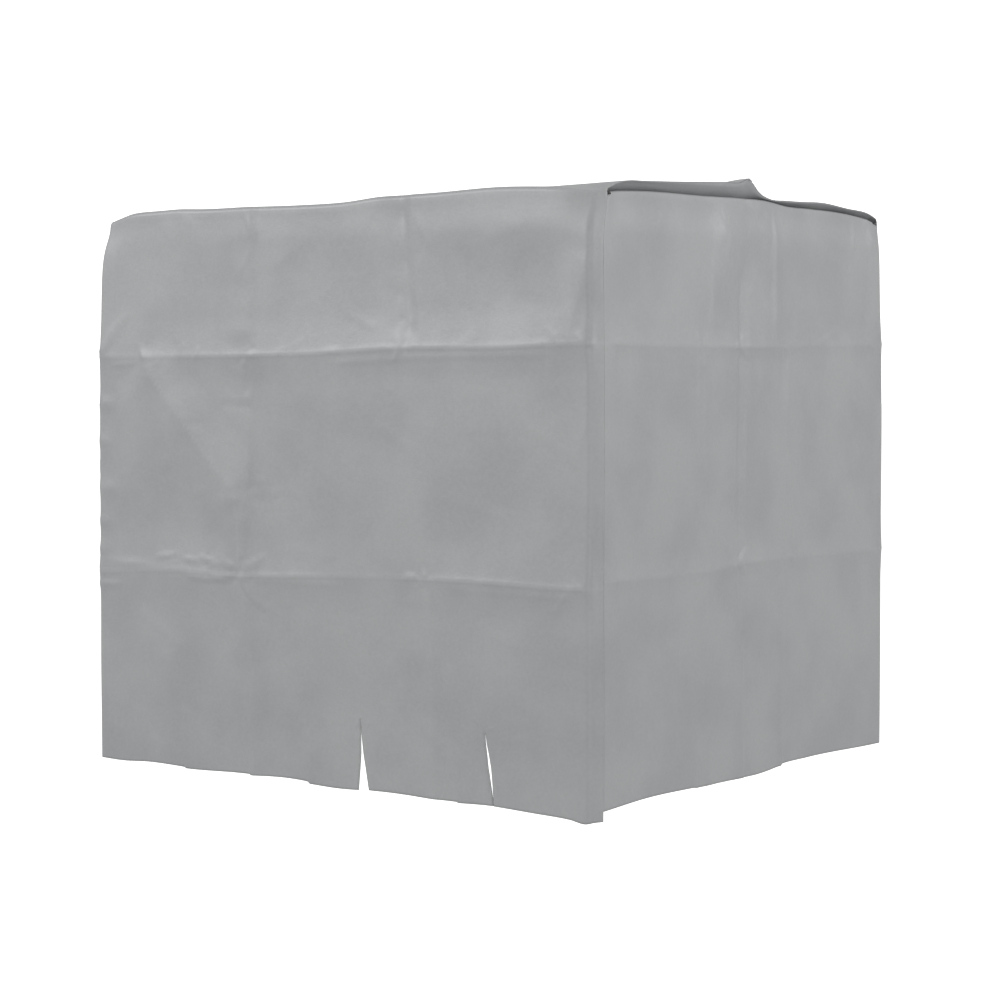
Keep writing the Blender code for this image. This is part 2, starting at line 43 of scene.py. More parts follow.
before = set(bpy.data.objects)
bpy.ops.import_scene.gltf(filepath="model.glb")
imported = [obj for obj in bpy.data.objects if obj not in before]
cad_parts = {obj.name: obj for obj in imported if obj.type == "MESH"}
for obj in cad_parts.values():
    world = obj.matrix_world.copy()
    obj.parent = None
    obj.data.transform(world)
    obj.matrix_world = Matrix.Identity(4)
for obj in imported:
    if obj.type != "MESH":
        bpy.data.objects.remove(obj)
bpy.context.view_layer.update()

MM = 0.001
BODY = "root"

# Sizes of the hung cover, as the CAD panels have them. A layer is a CAD panel's thickness.
LENGTH = 1.216
WIDTH = 1.080
DROP = 1.090
LAYER = 0.0015
FIN_GAP = 0.0003
ROUNDING = 1e-6
DIGITS = 6

# The long panels turn the upright corners with a tight bend and a short strip
CORNER_BEND = 0.012
CORNER_TURN = math.radians(67)
CORNER_STRIP = 0.022

# Fine cloth bends over the top's edge more sharply than the thick CAD panels do
TOP_BEND = 0.009

# The standing seam along the middle of the top
FIN_HEIGHT = 0.012
FIN_BEND = 0.002
FIN_TAPER = 0.85
FIN_TAPER_RUN = 0.130

# The tucked pocket of each gusset
POCKET_DEPTH = 0.420
POCKET_START = 0.020
CREASE_BEND = 0.004
POCKET_LIFT = 0.016
POCKET_MARGIN = 0.030
POCKET_SLOPE = 0.120
LAYER_AT_LIP = 0.0010
LAYERS_APART = 0.0030
MOUTH_REACH = 0.034
TURN_DEPTH = 0.0015
ROOF_FALL = 0.022
LIP_INSET = 0.001
ROOF_SHARE = 0.9
LAYERS_UNDER_BEND = 3
SEAM_BLEND = 0.045
EDGE_REACH = 0.110
LIP_REACH = 0.150

# Where the packing folds lie on the flat cloth, over the hem
LOW_FOLD = 0.400
HIGH_FOLD = 0.830
SEAM_WANDER = 0.001
SEAM_WAVES = 11.0

# Below the top the walls spread by this share
SPREAD = 0.007
SPREAD_HEIGHT = 0.45

# At the upright seams both edges turn in, with a narrow allowance behind. The corner's strip stops short of
# the seam by a few of its bends, and the wall's relief fades before the corner.
SEAM_BEND = 0.0005
ALLOWANCE = 0.008
SEAM_CLEAR = 0.0009
BENDS_SHORT = 1.6
CORNER_FADE = 1.5

# Worked out from the sizes above
CORNER_ALONG = CORNER_BEND * math.sin(CORNER_TURN) + CORNER_STRIP * math.cos(CORNER_TURN)
CORNER_BACK = CORNER_BEND * (1 - math.cos(CORNER_TURN)) + CORNER_STRIP * math.sin(CORNER_TURN)
CORNER_ARC = CORNER_BEND * CORNER_TURN
FLAT_HALF = LENGTH / 2 - CORNER_ALONG
SEAM_Y = WIDTH / 2 - CORNER_BACK
WALL = DROP - TOP_BEND
BEND_RUN = TOP_BEND * math.pi / 2
FIN_FOOT = FIN_GAP / 2 + LAYER / 2 + FIN_BEND
TOP_LENGTH = WIDTH / 2 - TOP_BEND - FIN_FOOT
FIN_RUN = FIN_BEND * math.pi / 2
STRIP_RUN = CORNER_STRIP - BENDS_SHORT * SEAM_BEND
STRIP_HALF = FLAT_HALF + CORNER_ARC + STRIP_RUN
STRIP_TURN = math.pi - CORNER_TURN
GUSSET_FLAT = SEAM_Y - SEAM_CLEAR - SEAM_BEND
GUSSET_TURN = SEAM_BEND * math.pi / 2
POCKET_EDGE = SEAM_Y - POCKET_START
CREASE_RUN = CREASE_BEND * math.pi / 2
TURN_RUN = TURN_DEPTH * math.pi

# Heights of the top's edges over the tank. Columns: place, height, in mm
FRONT_EDGE = ((-600, 12), (-552, 13), (-458, 12), (-392, 14), (-328, 12), (-202, 12), (-80, 11), (38, 13),
              (125, 20), (172, 21), (265, 23), (374, 28), (479, 32), (530, 36), (570, 35), (600, 27))
BACK_EDGE = ((-600, 14), (-400, 17), (-150, 12), (100, 15), (350, 12), (600, 14))
RIGHT_LIP = ((-540, 16), (-500, 22), (-474, 29), (-440, 35), (-374, 38), (-280, 42), (-198, 46), (-100, 51),
             (-40, 55), (-24, 60), (-12, 64), (-3, 58), (8, 48), (24, 38), (60, 28), (130, 27), (195, 28),
             (268, 30), (380, 23), (470, 18), (510, 12), (540, 4))
LEFT_LIP = ((-535, 12), (-491, 13), (-400, 20), (-200, 27), (-30, 35), (0, 34), (60, 24),
            (200, 22), (400, 18), (491, 14), (535, 13))

# Heights of each gusset's top crease, the lower edge of its pocket's mouth, in mm
RIGHT_MOUTH = ((-507, 13), (-450, 17), (-384, 20), (-162, 22), (-17, 24), (58, 24), (136, 17), (235, 16),
                (359, 14), (450, 8), (507, 2))
LEFT_MOUTH = ((-507, 3), (-300, 8), (0, 12), (300, 9), (507, 3))

# Heights of the hems over the lowest corner, in mm
FRONT_HEM = ((-600, -2), (-533, -3), (-466, 1), (-335, 0), (-208, 3), (-85, 5), (35, 0),
             (151, 3), (264, 2), (373, 3), (480, 0), (556, -3), (592, -7), (600, -5))
BACK_HEM = ((-600, 3), (-300, -2), (0, 3), (280, -1), (600, 4))
RIGHT_HEM = ((-507, 13), (-379, 17), (-173, 12), (48, 8), (106, 12), (507, 5))
LEFT_HEM = ((-507, 2), (-200, 6), (90, 1), (507, 4))

# The packing folds that run round the walls. Columns: place, height over the hem, in mm
FRONT_HIGH = ((-600, 812), (-330, 814), (-22, 820), (172, 830), (400, 831), (531, 836), (600, 838))
FRONT_LOW = ((-600, 376), (-500, 384), (-414, 389), (-214, 389), (-23, 397), (218, 406), (400, 407),
             (520, 405), (600, 407))
BACK_HIGH = ((-600, 812), (-200, 826), (250, 822), (600, 838))
BACK_LOW = ((-600, 380), (-150, 396), (300, 404), (600, 412))
RIGHT_HIGH = ((-507, 838), (-383, 835), (-196, 833), (-52, 832), (158, 834), (507, 838))
RIGHT_LOW = ((-507, 418), (-348, 415), (-194, 413), (-49, 420), (162, 418), (507, 412))
LEFT_HIGH = ((-507, 812), (0, 824), (507, 812))
LEFT_LOW = ((-507, 376), (0, 388), (507, 380))

# How proud those folds stand. Columns: place, height of the crest, in mm
FRONT_HIGH_CREST = ((-600, 4), (-479, 3), (-330, 6), (-199, 8), (0, 6), (172, 9), (300, 7), (450, 8),
                    (600, 6))
FRONT_LOW_CREST = ((-600, 4), (-414, 5), (-214, 7), (-100, 8), (0, 5), (200, 4), (287, 8), (450, 7),
                   (600, 5))
BACK_CREST = ((-600, 4), (-200, 7), (200, 6), (600, 5))
RIGHT_CREST = ((-507, 2.6), (-196, 2), (-52, 3.4), (158, 2), (507, 2.4))
LEFT_CREST = ((-507, 4), (0, 6), (507, 4))

# The upright folds. Columns: height over the hem, place along the wall, in mm
FRONT_LEFT_FOLD = ((0, -182), (245, -189), (389, -214), (633, -197), (816, -199), (1110, -202))
FRONT_UPPER_FOLD = ((800, 196), (881, 195), (936, 188), (1028, 179), (1110, 172))
FRONT_LOWER_FOLD = ((0, 254), (276, 250), (404, 241), (643, 241), (808, 242))
RIGHT_NEAR_FOLD = ((0, -163), (412, -172), (640, -177), (839, -186), (1110, -196))
RIGHT_MIDDLE_FOLD = ((0, -28), (253, -41), (426, -57), (832, -52), (1110, -46))
RIGHT_FAR_LOW = ((0, 106), (416, 104))
RIGHT_FAR_MIDDLE = ((416, 150), (640, 128), (834, 130))
RIGHT_FAR_HIGH = ((834, 86), (1110, 84))
BACK_LEFT_FOLD = ((0, -190), (600, -205), (1110, -196))
BACK_RIGHT_FOLD = ((0, 214), (600, 200), (1110, 206))
LEFT_MIDDLE_FOLD = ((0, 18), (500, 34), (1110, 20))

# Slack and hollows of each wall. Columns: place, height over the hem, half width, half height, bulge, in mm
FRONT_PILLOWS = (
    (-400, 985, 130, 110, -5), (0, 960, 140, 100, -6), (395, 950, 150, 90, -6), (470, 1050, 120, 45, 4),
    (-60, 650, 170, 130, -3), (120, 520, 160, 110, 4), (450, 600, 130, 130, -3), (240, 640, 45, 150, 3),
    (-420, 210, 150, 110, 4), (20, 190, 140, 120, -4), (450, 210, 130, 110, 4), (-330, 500, 90, 80, -5),
)
BACK_PILLOWS = (
    (-400, 960, 150, 110, -5), (0, 980, 140, 100, -4), (400, 960, 140, 110, -6), (-380, 600, 150, 130, 4),
    (30, 610, 160, 130, -4), (420, 590, 140, 130, 4), (-390, 190, 150, 120, -4), (10, 200, 150, 120, 4),
    (410, 210, 140, 120, -3),
)
RIGHT_PILLOWS = (
    (-350, 970, 110, 100, -4), (-92, 1020, 40, 75, 6), (330, 960, 130, 110, -4), (-340, 620, 110, 130, 3),
    (330, 620, 130, 130, -3), (-330, 200, 110, 120, -3), (320, 200, 130, 120, 3), (20, 950, 44, 90, -2),
)
LEFT_PILLOWS = (
    (-280, 960, 150, 110, -5), (280, 970, 150, 110, -4), (-270, 600, 150, 130, 4), (280, 600, 150, 130, -4),
    (-270, 190, 150, 120, -3), (270, 200, 150, 120, 3),
)

# Straight creases. Columns: place and height of each end, then crest, left and right reach, in mm
FRONT_CREASES = (
    (-468, 796, -226, 545, 8, 80, 150), (-226, 545, -214, 400, 4, 60, 90),
    (196, 1092, 250, 1012, 1.0, 12, 10), (-591, 816, -520, 900, 1.4, 16, 12),
    (-214, 389, -130, 318, 1.4, 18, 18), (552, 840, 590, 990, 2.2, 70, 26),
)
RIGHT_CREASES = (
    (471, 1094, 500, 990, 3, 26, 26), (20, 1104, 64, 1040, 1.6, 18, 14),
    (-126, 1041, -154, 863, 0.8, 22, 20),
)

# Small dents and puckers, in the same columns as the slack
FRONT_DENTS = (
    (-578, 718, 22, 12, 3.2), (-584, 642, 20, 12, 2.6), (-574, 548, 30, 13, 3.0), (-586, 480, 22, 10, 2.4),
    (-592, 424, 18, 10, 2.0), (-222, 728, 28, 7, 1.3), (-500, 398, 60, 9, 2.2), (-290, 380, 55, 7, 1.6),
    (-570, 352, 34, 8, 1.6), (15, 824, 20, 6, 1.6), (183, 884, 9, 7, -1.8), (176, 850, 13, 24, 2.0),
    (552, 905, 26, 55, 2.6), (-468, 812, 16, 14, 2.6), (88, 60, 40, 60, -2.0), (389, 60, 34, 60, -2.0),
    (-330, 60, 60, 40, 2.0), (-208, 1066, 40, 30, 1.0), (-380, 1070, 40, 22, 1.6),
    (180, 1080, 18, 22, -2.2),
)
RIGHT_DENTS = (
    (-118, 1045, 30, 34, 2.4), (-20, 1000, 22, 60, -1.8), (496, 1050, 12, 34, 1.8), (60, 1075, 16, 26, 1.4),
    (-500, 640, 10, 160, 1.2), (470, 700, 24, 60, 1.6), (478, 560, 20, 40, 1.4), (-20, 620, 18, 170, 1.2),
)

# Fine creases, in the same columns as the straight ones
FRONT_WRINKLES = (
    (-335, 806, -322, 830, 1.2, 8, 8), (-560, 796, -485, 802, 1.0, 9, 9), (27, 802, 214, 812, 1.3, 12, 9),
    (214, 812, 499, 818, 1.2, 12, 9), (-188, 812, -196, 742, -1.6, 12, 16),
    (-259, 722, -186, 716, -1.5, 12, 10), (-390, 682, -304, 681, -0.7, 9, 9),
    (-344, 542, -298, 553, 1.1, 7, 7), (-380, 567, -364, 546, 0.8, 6, 6), (-413, 618, -406, 596, 0.7, 6, 6),
    (-218, 541, -165, 534, -0.9, 8, 8), (-165, 534, -113, 545, -0.9, 8, 8),
    (-208, 570, -166, 577, 0.9, 7, 7), (-152, 540, -107, 559, 1.0, 7, 7), (-436, 415, -390, 421, 1.5, 9, 8),
    (-359, 416, -318, 411, 1.3, 8, 8), (-322, 421, -274, 409, 1.4, 8, 8), (-300, 402, -262, 414, 1.1, 7, 7),
    (-252, 417, -233, 400, 1.6, 8, 8), (-268, 428, -246, 404, 1.0, 7, 7), (-354, 381, -290, 377, 1.3, 8, 8),
    (-290, 377, -224, 390, 1.3, 8, 8), (-604, 352, -540, 358, 1.0, 8, 8),
    (-212, 396, -150, 430, 1.2, 16, 22), (-167, 383, 38, 385, 0.9, 9, 9), (300, 392, 560, 388, 0.8, 9, 8),
    (-212, 388, -190, 352, 2.6, 7, 7), (-190, 352, -166, 336, 2.4, 7, 7), (-166, 336, -138, 330, 2.0, 6, 6),
    (183, 402, 214, 410, 1.4, 8, 8), (196, 417, 208, 392, 1.2, 7, 7), (206, 412, 236, 402, 1.1, 7, 7),
    (236, 420, 250, 394, 1.1, 8, 8), (188, 880, 172, 918, 1.3, 9, 9), (196, 884, 210, 908, -1.0, 8, 8),
    (172, 1100, 200, 1058, 1.4, 12, 9), (232, 1090, 250, 1040, 0.7, 8, 8),
    (-212, 1098, -176, 1040, 1.1, 12, 9), (-190, 1020, -228, 960, 0.8, 12, 12),
    (-430, 1080, -395, 1030, 0.9, 12, 12), (-392, 1100, -350, 1072, 1.0, 9, 9),
    (-594, 820, -560, 872, 1.6, 9, 9), (-560, 872, -536, 886, 1.0, 8, 8),
    (-120, 820, -60, 840, 0.5, 12, 12), (300, 832, 352, 850, 0.4, 12, 10),
    (480, 834, 530, 850, 0.6, 12, 12), (-362, 0, -364, 120, 1.2, 12, 7), (-45, 0, -42, 96, 1.4, 14, 6),
    (310, 0, 306, 60, 0.8, 10, 6), (-190, 0, -194, 110, 0.9, 10, 8), (-362, 118, -268, 20, 0.8, 12, 12),
    (-480, 300, -360, 240, 0.7, 18, 18), (330, 330, 470, 290, 0.6, 18, 18),
    (120, 690, 210, 640, 0.7, 16, 16), (280, 560, 420, 520, 0.6, 20, 16), (440, 700, 560, 640, 0.7, 18, 18),
    (-90, 560, -60, 542, 0.9, 7, 7), (590, 700, 560, 620, 0.9, 16, 14), (560, 405, 520, 360, 0.9, 12, 12),
    (-150, 980, -40, 1040, 0.6, 18, 16), (40, 900, 120, 866, 0.7, 14, 14),
    (330, 1010, 460, 1050, 0.6, 20, 16),
)
RIGHT_WRINKLES = (
    (0, 1103, 48, 1052, 1.8, 10, 9), (85, 1096, 85, 886, 0.8, 12, 9), (-40, 965, -6, 945, -1.5, 8, 8),
    (-46, 990, -58, 930, 1.0, 9, 9), (-146, 990, -152, 900, 0.7, 12, 9), (457, 1100, 500, 1052, 1.6, 9, 8),
    (486, 1088, 516, 1010, 1.4, 8, 8), (470, 1070, 508, 1026, 1.1, 7, 7), (413, 1092, 400, 1026, 1.0, 8, 8),
    (-196, 833, -202, 696, 0.9, 10, 9), (-202, 696, -184, 425, 0.8, 10, 10),
    (130, 834, 124, 689, 0.9, 10, 9), (124, 689, 150, 430, 0.8, 10, 9), (-485, 836, -485, 560, 0.8, 8, 9),
    (-487, 560, -486, 90, 0.8, 8, 9), (-120, 1062, -88, 1030, 1.4, 9, 9), (-96, 1076, -60, 1038, 1.2, 9, 9),
    (-110, 1000, -74, 960, 1.0, 9, 9), (-70, 830, -34, 850, 1.0, 8, 8), (-52, 832, -20, 812, 0.9, 8, 8),
    (-58, 424, -26, 446, 1.2, 9, 9), (-58, 424, -92, 400, 1.1, 9, 9), (162, 420, 196, 436, 0.9, 9, 9),
    (-300, 416, -250, 446, 0.7, 12, 12), (-209, 0, -204, 90, 1.0, 11, 7), (106, 0, 104, 120, 1.0, 11, 7),
    (250, 838, 330, 866, 0.7, 12, 12), (480, 836, 500, 800, 1.2, 10, 10), (496, 780, 476, 730, 1.0, 9, 9),
    (500, 690, 480, 640, 0.9, 9, 9), (-420, 1060, -330, 1010, 0.6, 18, 16),
    (240, 1040, 350, 1000, 0.6, 18, 16), (-430, 300, -330, 250, 0.6, 16, 16),
    (220, 330, 330, 290, 0.6, 16, 16), (300, 720, 400, 660, 0.6, 18, 18),
    (-420, 720, -320, 660, 0.5, 18, 18), (-28, 20, -36, 250, 1.1, 9, 12), (-8, 20, -18, 240, 0.8, 9, 9),
    (-30, 700, -34, 500, 0.9, 8, 12),
)
BACK_WRINKLES = (
    (-200, 826, -140, 870, 1.2, 9, 9), (-204, 820, -250, 780, 1.1, 9, 9), (206, 822, 270, 790, 1.1, 9, 9),
    (206, 404, 150, 440, 1.3, 10, 10), (-196, 396, -140, 340, 1.4, 12, 12),
    (-590, 812, -520, 900, 1.4, 14, 12), (560, 830, 480, 930, 1.2, 16, 14),
    (-430, 600, -330, 520, 0.8, 18, 18), (300, 620, 420, 540, 0.8, 18, 18),
    (30, 980, 120, 1040, 0.7, 16, 16), (-100, 300, -20, 240, 0.8, 16, 16),
    (380, 200, 470, 150, 0.7, 16, 16),
)
LEFT_WRINKLES = (
    (24, 824, 70, 860, 1.2, 9, 9), (24, 388, -30, 430, 1.3, 10, 10), (-480, 812, -420, 880, 1.3, 12, 12),
    (470, 812, 410, 900, 1.1, 14, 12), (-300, 620, -200, 540, 0.8, 18, 18),
    (240, 560, 340, 640, 0.8, 18, 18), (-260, 220, -170, 160, 0.8, 16, 16),
    (26, 1010, 70, 1060, 1.0, 10, 9),
)

# Knots of puckers where folds cross. Columns: place, height, reach, count, crest, in mm
FRONT_KNOTS = (
    (-199, 816, 26, 7, 0.9), (-214, 389, 34, 12, 1.0), (241, 404, 24, 8, 0.9), (176, 829, 26, 7, 0.9),
    (-330, 404, 70, 12, 0.9), (-470, 806, 30, 5, 0.8), (-584, 600, 40, 9, 0.8), (590, 840, 30, 6, 0.9),
    (-190, 548, 60, 7, 0.6), (79, 120, 26, 6, 0.8), (371, 128, 20, 4, 0.6), (-202, 1090, 40, 6, 0.6),
    (588, 410, 26, 5, 0.8), (-594, 380, 30, 6, 0.9),
)
RIGHT_KNOTS = (
    (-52, 832, 28, 7, 0.8), (-57, 424, 34, 8, 0.8), (-100, 1040, 50, 8, 0.8), (495, 1060, 36, 10, 0.9),
    (-186, 836, 26, 5, 0.6), (110, 834, 26, 5, 0.6), (498, 780, 30, 6, 0.7), (-490, 416, 20, 5, 0.7),
    (160, 418, 26, 5, 0.6), (0, 1100, 40, 6, 0.7),
)
BACK_KNOTS = (
    (-200, 826, 36, 8, 0.9), (206, 822, 36, 8, 0.9), (-200, 396, 40, 9, 0.9), (206, 404, 40, 9, 0.9),
)
LEFT_KNOTS = (
    (20, 824, 36, 8, 0.9), (24, 388, 40, 9, 0.9), (-480, 820, 30, 6, 0.8), (480, 400, 30, 6, 0.8),
)

# Steps of the hem where a packing fold crosses it. Columns: place, drop to its right, run out, in mm
FRONT_STEPS = ((-362, 2.5, 120), (-190, 2, 80), (-45, 4, 150), (310, 2, 60))
RIGHT_STEPS = ((-209, 1.5, 120), (106, -3, 90))
BACK_STEPS = ((-198, 3, 120), (206, -3, 100))
LEFT_STEPS = ((20, 3, 120),)
STEP_RUN = 0.004

# Creases of the top, in the columns of the straight ones, with X and Y for place and height
TOP_CREASES = (
    (-202, -520, -198, 520, 3.0, 40, 30), (208, -520, 202, 520, 3.0, 30, 40),
    (-420, -300, -300, -60, 1.6, 30, 26), (300, -420, 430, -200, 1.6, 30, 26),
    (-560, -60, -300, -40, 2.0, 24, 30), (-40, -330, 120, -180, 1.4, 26, 26),
    (-80, 160, 60, 340, 1.6, 28, 26), (320, 140, 480, 300, 1.6, 28, 26),
    (-480, 200, -330, 380, 1.6, 28, 26), (-202, -262, 206, -258, 2.6, 26, 30),
    (-206, 262, 208, 268, 2.6, 30, 26),
)
TOP_FADE = 0.070

# Each wall's lines and relief. The packing folds that run round it give their crest and their reach above
# and below. The upright folds give their crest, the share of it that is a sharp line, their reach before and
# after, and the heights between which they show. The lean is how far the cloth falls back at the top's edge.
FRONT = {
    "hem": FRONT_HEM, "low": FRONT_LOW, "high": FRONT_HIGH, "steps": FRONT_STEPS,
    "round": ((FRONT_HIGH, FRONT_HIGH_CREST, 75, 60), (FRONT_LOW, FRONT_LOW_CREST, 80, 70)),
    "upright": ((FRONT_LEFT_FOLD, 3.4, 0.1, 90, 36, 830, 1150),
                (FRONT_LEFT_FOLD, 2.6, 0.12, 60, 28, 395, 820),
                (FRONT_LEFT_FOLD, 3.6, 0.2, 20, 44, -50, 385),
                (FRONT_UPPER_FOLD, -5.0, 0.1, 60, 30, 830, 1150),
                (FRONT_LOWER_FOLD, 1.8, 0.0, 60, 60, 410, 830),
                (FRONT_LOWER_FOLD, 3.0, 0.1, 60, 28, -50, 400)),
    "straight": FRONT_CREASES, "slack": FRONT_PILLOWS, "dents": FRONT_DENTS, "fine": FRONT_WRINKLES,
    "knots": FRONT_KNOTS, "half": 600, "lean": 2.5, "seed": 3,
}
BACK = {
    "hem": BACK_HEM, "low": BACK_LOW, "high": BACK_HIGH, "steps": BACK_STEPS,
    "round": ((BACK_HIGH, BACK_CREST, 75, 60), (BACK_LOW, BACK_CREST, 80, 60)),
    "upright": ((BACK_LEFT_FOLD, 3, 0.2, 50, 40, -50, 1150), (BACK_RIGHT_FOLD, -3, 0.2, 40, 40, -50, 1150)),
    "straight": (), "slack": BACK_PILLOWS, "dents": (), "fine": BACK_WRINKLES,
    "knots": BACK_KNOTS, "half": 600, "lean": 2.5, "seed": 5,
}
RIGHT = {
    "hem": RIGHT_HEM, "low": RIGHT_LOW, "high": RIGHT_HIGH, "mouth": RIGHT_MOUTH, "lip": RIGHT_LIP,
    "steps": RIGHT_STEPS,
    "round": ((RIGHT_HIGH, RIGHT_CREST, 34, 30), (RIGHT_LOW, RIGHT_CREST, 34, 30)),
    "upright": ((RIGHT_NEAR_FOLD, 1.4, 0.3, 30, 30, 415, 830),
                (RIGHT_NEAR_FOLD, 1.8, 0.3, 30, 34, -50, 415),
                (RIGHT_MIDDLE_FOLD, -3.4, 0.8, 7, 42, -50, 1000),
                (RIGHT_FAR_LOW, 1.4, 0.3, 20, 20, -50, 412),
                (RIGHT_FAR_MIDDLE, 1.8, 0.1, 26, 40, 416, 830),
                (RIGHT_FAR_HIGH, 2.0, 0.2, 18, 30, 838, 1090)),
    "straight": RIGHT_CREASES, "slack": RIGHT_PILLOWS, "dents": RIGHT_DENTS, "fine": RIGHT_WRINKLES,
    "knots": RIGHT_KNOTS, "half": 507, "lean": 5, "seed": 7,
}
LEFT = {
    "hem": LEFT_HEM, "low": LEFT_LOW, "high": LEFT_HIGH, "mouth": LEFT_MOUTH, "lip": LEFT_LIP,
    "steps": LEFT_STEPS,
    "round": ((LEFT_HIGH, LEFT_CREST, 65, 50), (LEFT_LOW, LEFT_CREST, 65, 50)),
    "upright": ((LEFT_MIDDLE_FOLD, 4, 0.5, 12, 40, -50, 1150),),
    "straight": (), "slack": LEFT_PILLOWS, "dents": (), "fine": LEFT_WRINKLES,
    "knots": LEFT_KNOTS, "half": 507, "lean": 5, "seed": 9,
}

# A packing fold is a broad swell and, for a share of its crest, a sharp line with its own reach above and
# below. The powers set how full the flanks of folds and creases are.
ROUND_SHARP = 0.14
SHARP_ABOVE = 0.013
SHARP_BELOW = 0.006
UPRIGHT_SHARP_REACH = 0.009
SWELL_POWER = 1.5
CREASE_POWER = 2.0
SLACK_POWER = 1.25
CREASE_SOFTNESS = 0.0025
LEAN_REACH = 0.055
FOLD_END = 0.040
END_FADE = 0.15

# Loose crumples all over a wall: how many, and the least and most of each, in mm
CRUMPLES = 170
CRUMPLE_HALF = (14, 75)
CRUMPLE_CREST = (0.10, 0.42)
CRUMPLE_REACH = (7, 26)

# A pucker of a knot: where it starts and ends and how proud it is, as shares of the knot's reach and crest,
# how often it goes in or out, and its own reach in mm
PUCKER_START = (0.05, 0.45)
PUCKER_END = (0.6, 1.25)
PUCKER_CREST = (0.5, 1.3)
PUCKER_IN_OR_OUT = (0.35, 0.65)
PUCKER_REACH = (5, 10)

# Slow changes along a fold. Columns: waves, share, shift by the wall's seed
UNEVEN_CREST = 0.09
UNEVEN_WAVES = ((41, 1, 1), (97, 0.7, 2.3))

# How near a fold's line the cloth is painted lighter, partly as rubbed coating and partly as a painted
# highlight of the line, and the crest that is painted so in full
WEAR_AND_HIGHLIGHT_REACH = 0.004
WEAR_AND_HIGHLIGHT_CREST = 0.008

# Corners of the top that hang lower. Columns: X side, Y side, down, in along X, in along Y, reach, in mm
SLUMPS = ((-1, -1, 18, 12, 12, 70), (1, 1, 6, 4, 4, 55), (-1, 1, 12, 10, 10, 60), (1, -1, 2, 2, 20, 48))

# Slits of the tap flap in the front hem. Columns: place at the hem and at the top end, then the gap's width
# at the hem, low, half way, high and at its top end, all in mm, and the side of the flap
SLITS = ((88, 79, 22, 13, 4, 0.6, 0, 1), (389, 371, 1, 4, 6.5, 3, 0, -1))
SLIT_TOP = 0.137
SLIT_REACH = 0.060
CURL = 0.0025
CURL_REACH = 0.022


def along(rows, place):
    """Read a table as a smooth curve. Its columns are in millimetres, the result in metres."""
    knots = np.array(rows, dtype=float) * MM
    x, y = knots[:, 0], knots[:, 1]
    slope = np.gradient(y, x)
    place = np.clip(place, x[0], x[-1])
    i = np.clip(np.searchsorted(x, place) - 1, 0, len(x) - 2)
    span = x[i + 1] - x[i]
    t = (place - x[i]) / span
    start = (1 + 2 * t) * (1 - t) ** 2 * y[i] + t * (1 - t) ** 2 * span * slope[i]
    end = t * t * (3 - 2 * t) * y[i + 1] - t * t * (1 - t) * span * slope[i + 1]
    return start + end


def smooth(t):
    t = np.clip(t, 0, 1)
    return t * t * (3 - 2 * t)


def flank(distance, before, after):
    """How near a fold's line a point lies: 1 on the line, 0 at the fold's reach on each side."""
    reach = np.where(distance < 0, before, after)
    return np.clip(1 - np.abs(distance) / reach, 0, 1)


def crease_profile(distance, crest, before, after, power):
    """A folded crease with a slightly rounded line. A lower power gives it fuller flanks."""
    off = np.sqrt(distance ** 2 + CREASE_SOFTNESS ** 2) - CREASE_SOFTNESS
    return crest * flank(np.copysign(off, distance), before, after) ** power


def swell(distance, before, after):
    """A soft band with no line of its own."""
    return smooth(flank(distance, before, after))


def ridge(distance, above, below):
    """A packing fold: a broad swell, and a sharp line that is steepest just under it."""
    broad = flank(distance, below, above) ** SWELL_POWER
    sharp = flank(distance, SHARP_BELOW, SHARP_ABOVE) ** 2
    return (1 - ROUND_SHARP) * broad + ROUND_SHARP * sharp


def line_wear_and_highlight(distance, crest):
    """How much a folded line is painted lighter, from 0 to 1: partly rubbed coating, partly a painted
    highlight.
    """
    return np.clip(1 - np.abs(distance) / WEAR_AND_HIGHLIGHT_REACH, 0, 1) * np.clip(np.abs(crest) / WEAR_AND_HIGHLIGHT_CREST, 0, 1)


class Cloth:
    """The relief of a stretch of cloth, gathered fold by fold."""

    def __init__(self, place, height):
        self.place = place
        self.height = height
        self.proud = np.zeros_like(place)
        self.wear_and_highlight = np.zeros_like(place)

    def crease(self, rows, power=CREASE_POWER):
        """Add straight creases with faded ends."""
        for row in rows:
            start_x, start_h, end_x, end_h, crest, left, right = (value * MM for value in row)
            run = math.hypot(end_x - start_x, end_h - start_h)
            ax, ah = (end_x - start_x) / run, (end_h - start_h) / run
            t = ((self.place - start_x) * ax + (self.height - start_h) * ah) / run
            off = (self.place - start_x) * ah - (self.height - start_h) * ax
            near = (t > -1) & (t < 2) & (np.abs(off) < max(left, right))
            t, off = t[near], off[near]
            ends = smooth(t / END_FADE + 0.5) * smooth((1 - t) / END_FADE + 0.5)
            self.proud[near] += ends * crease_profile(off, crest, left, right, power)
            # Paint the crease's line lighter: partly rubbed coating, partly a painted highlight of the line
            self.wear_and_highlight[near] = np.maximum(self.wear_and_highlight[near], ends * line_wear_and_highlight(off, crest))

    def bulge(self, rows):
        """Add slack and hollow places."""
        for row in rows:
            x, h, half_x, half_h, bulge = (value * MM for value in row)
            away = ((self.place - x) / half_x) ** 2 + ((self.height - h) / half_h) ** 2
            self.proud += bulge * np.exp(-away)

    def fold(self, distance, proud, crest):
        """Add one packing fold that stands so proud, and paint its line lighter, as rubbed coating and as a
        painted highlight.
        """
        self.proud += proud
        self.wear_and_highlight = np.maximum(self.wear_and_highlight, line_wear_and_highlight(distance, crest))


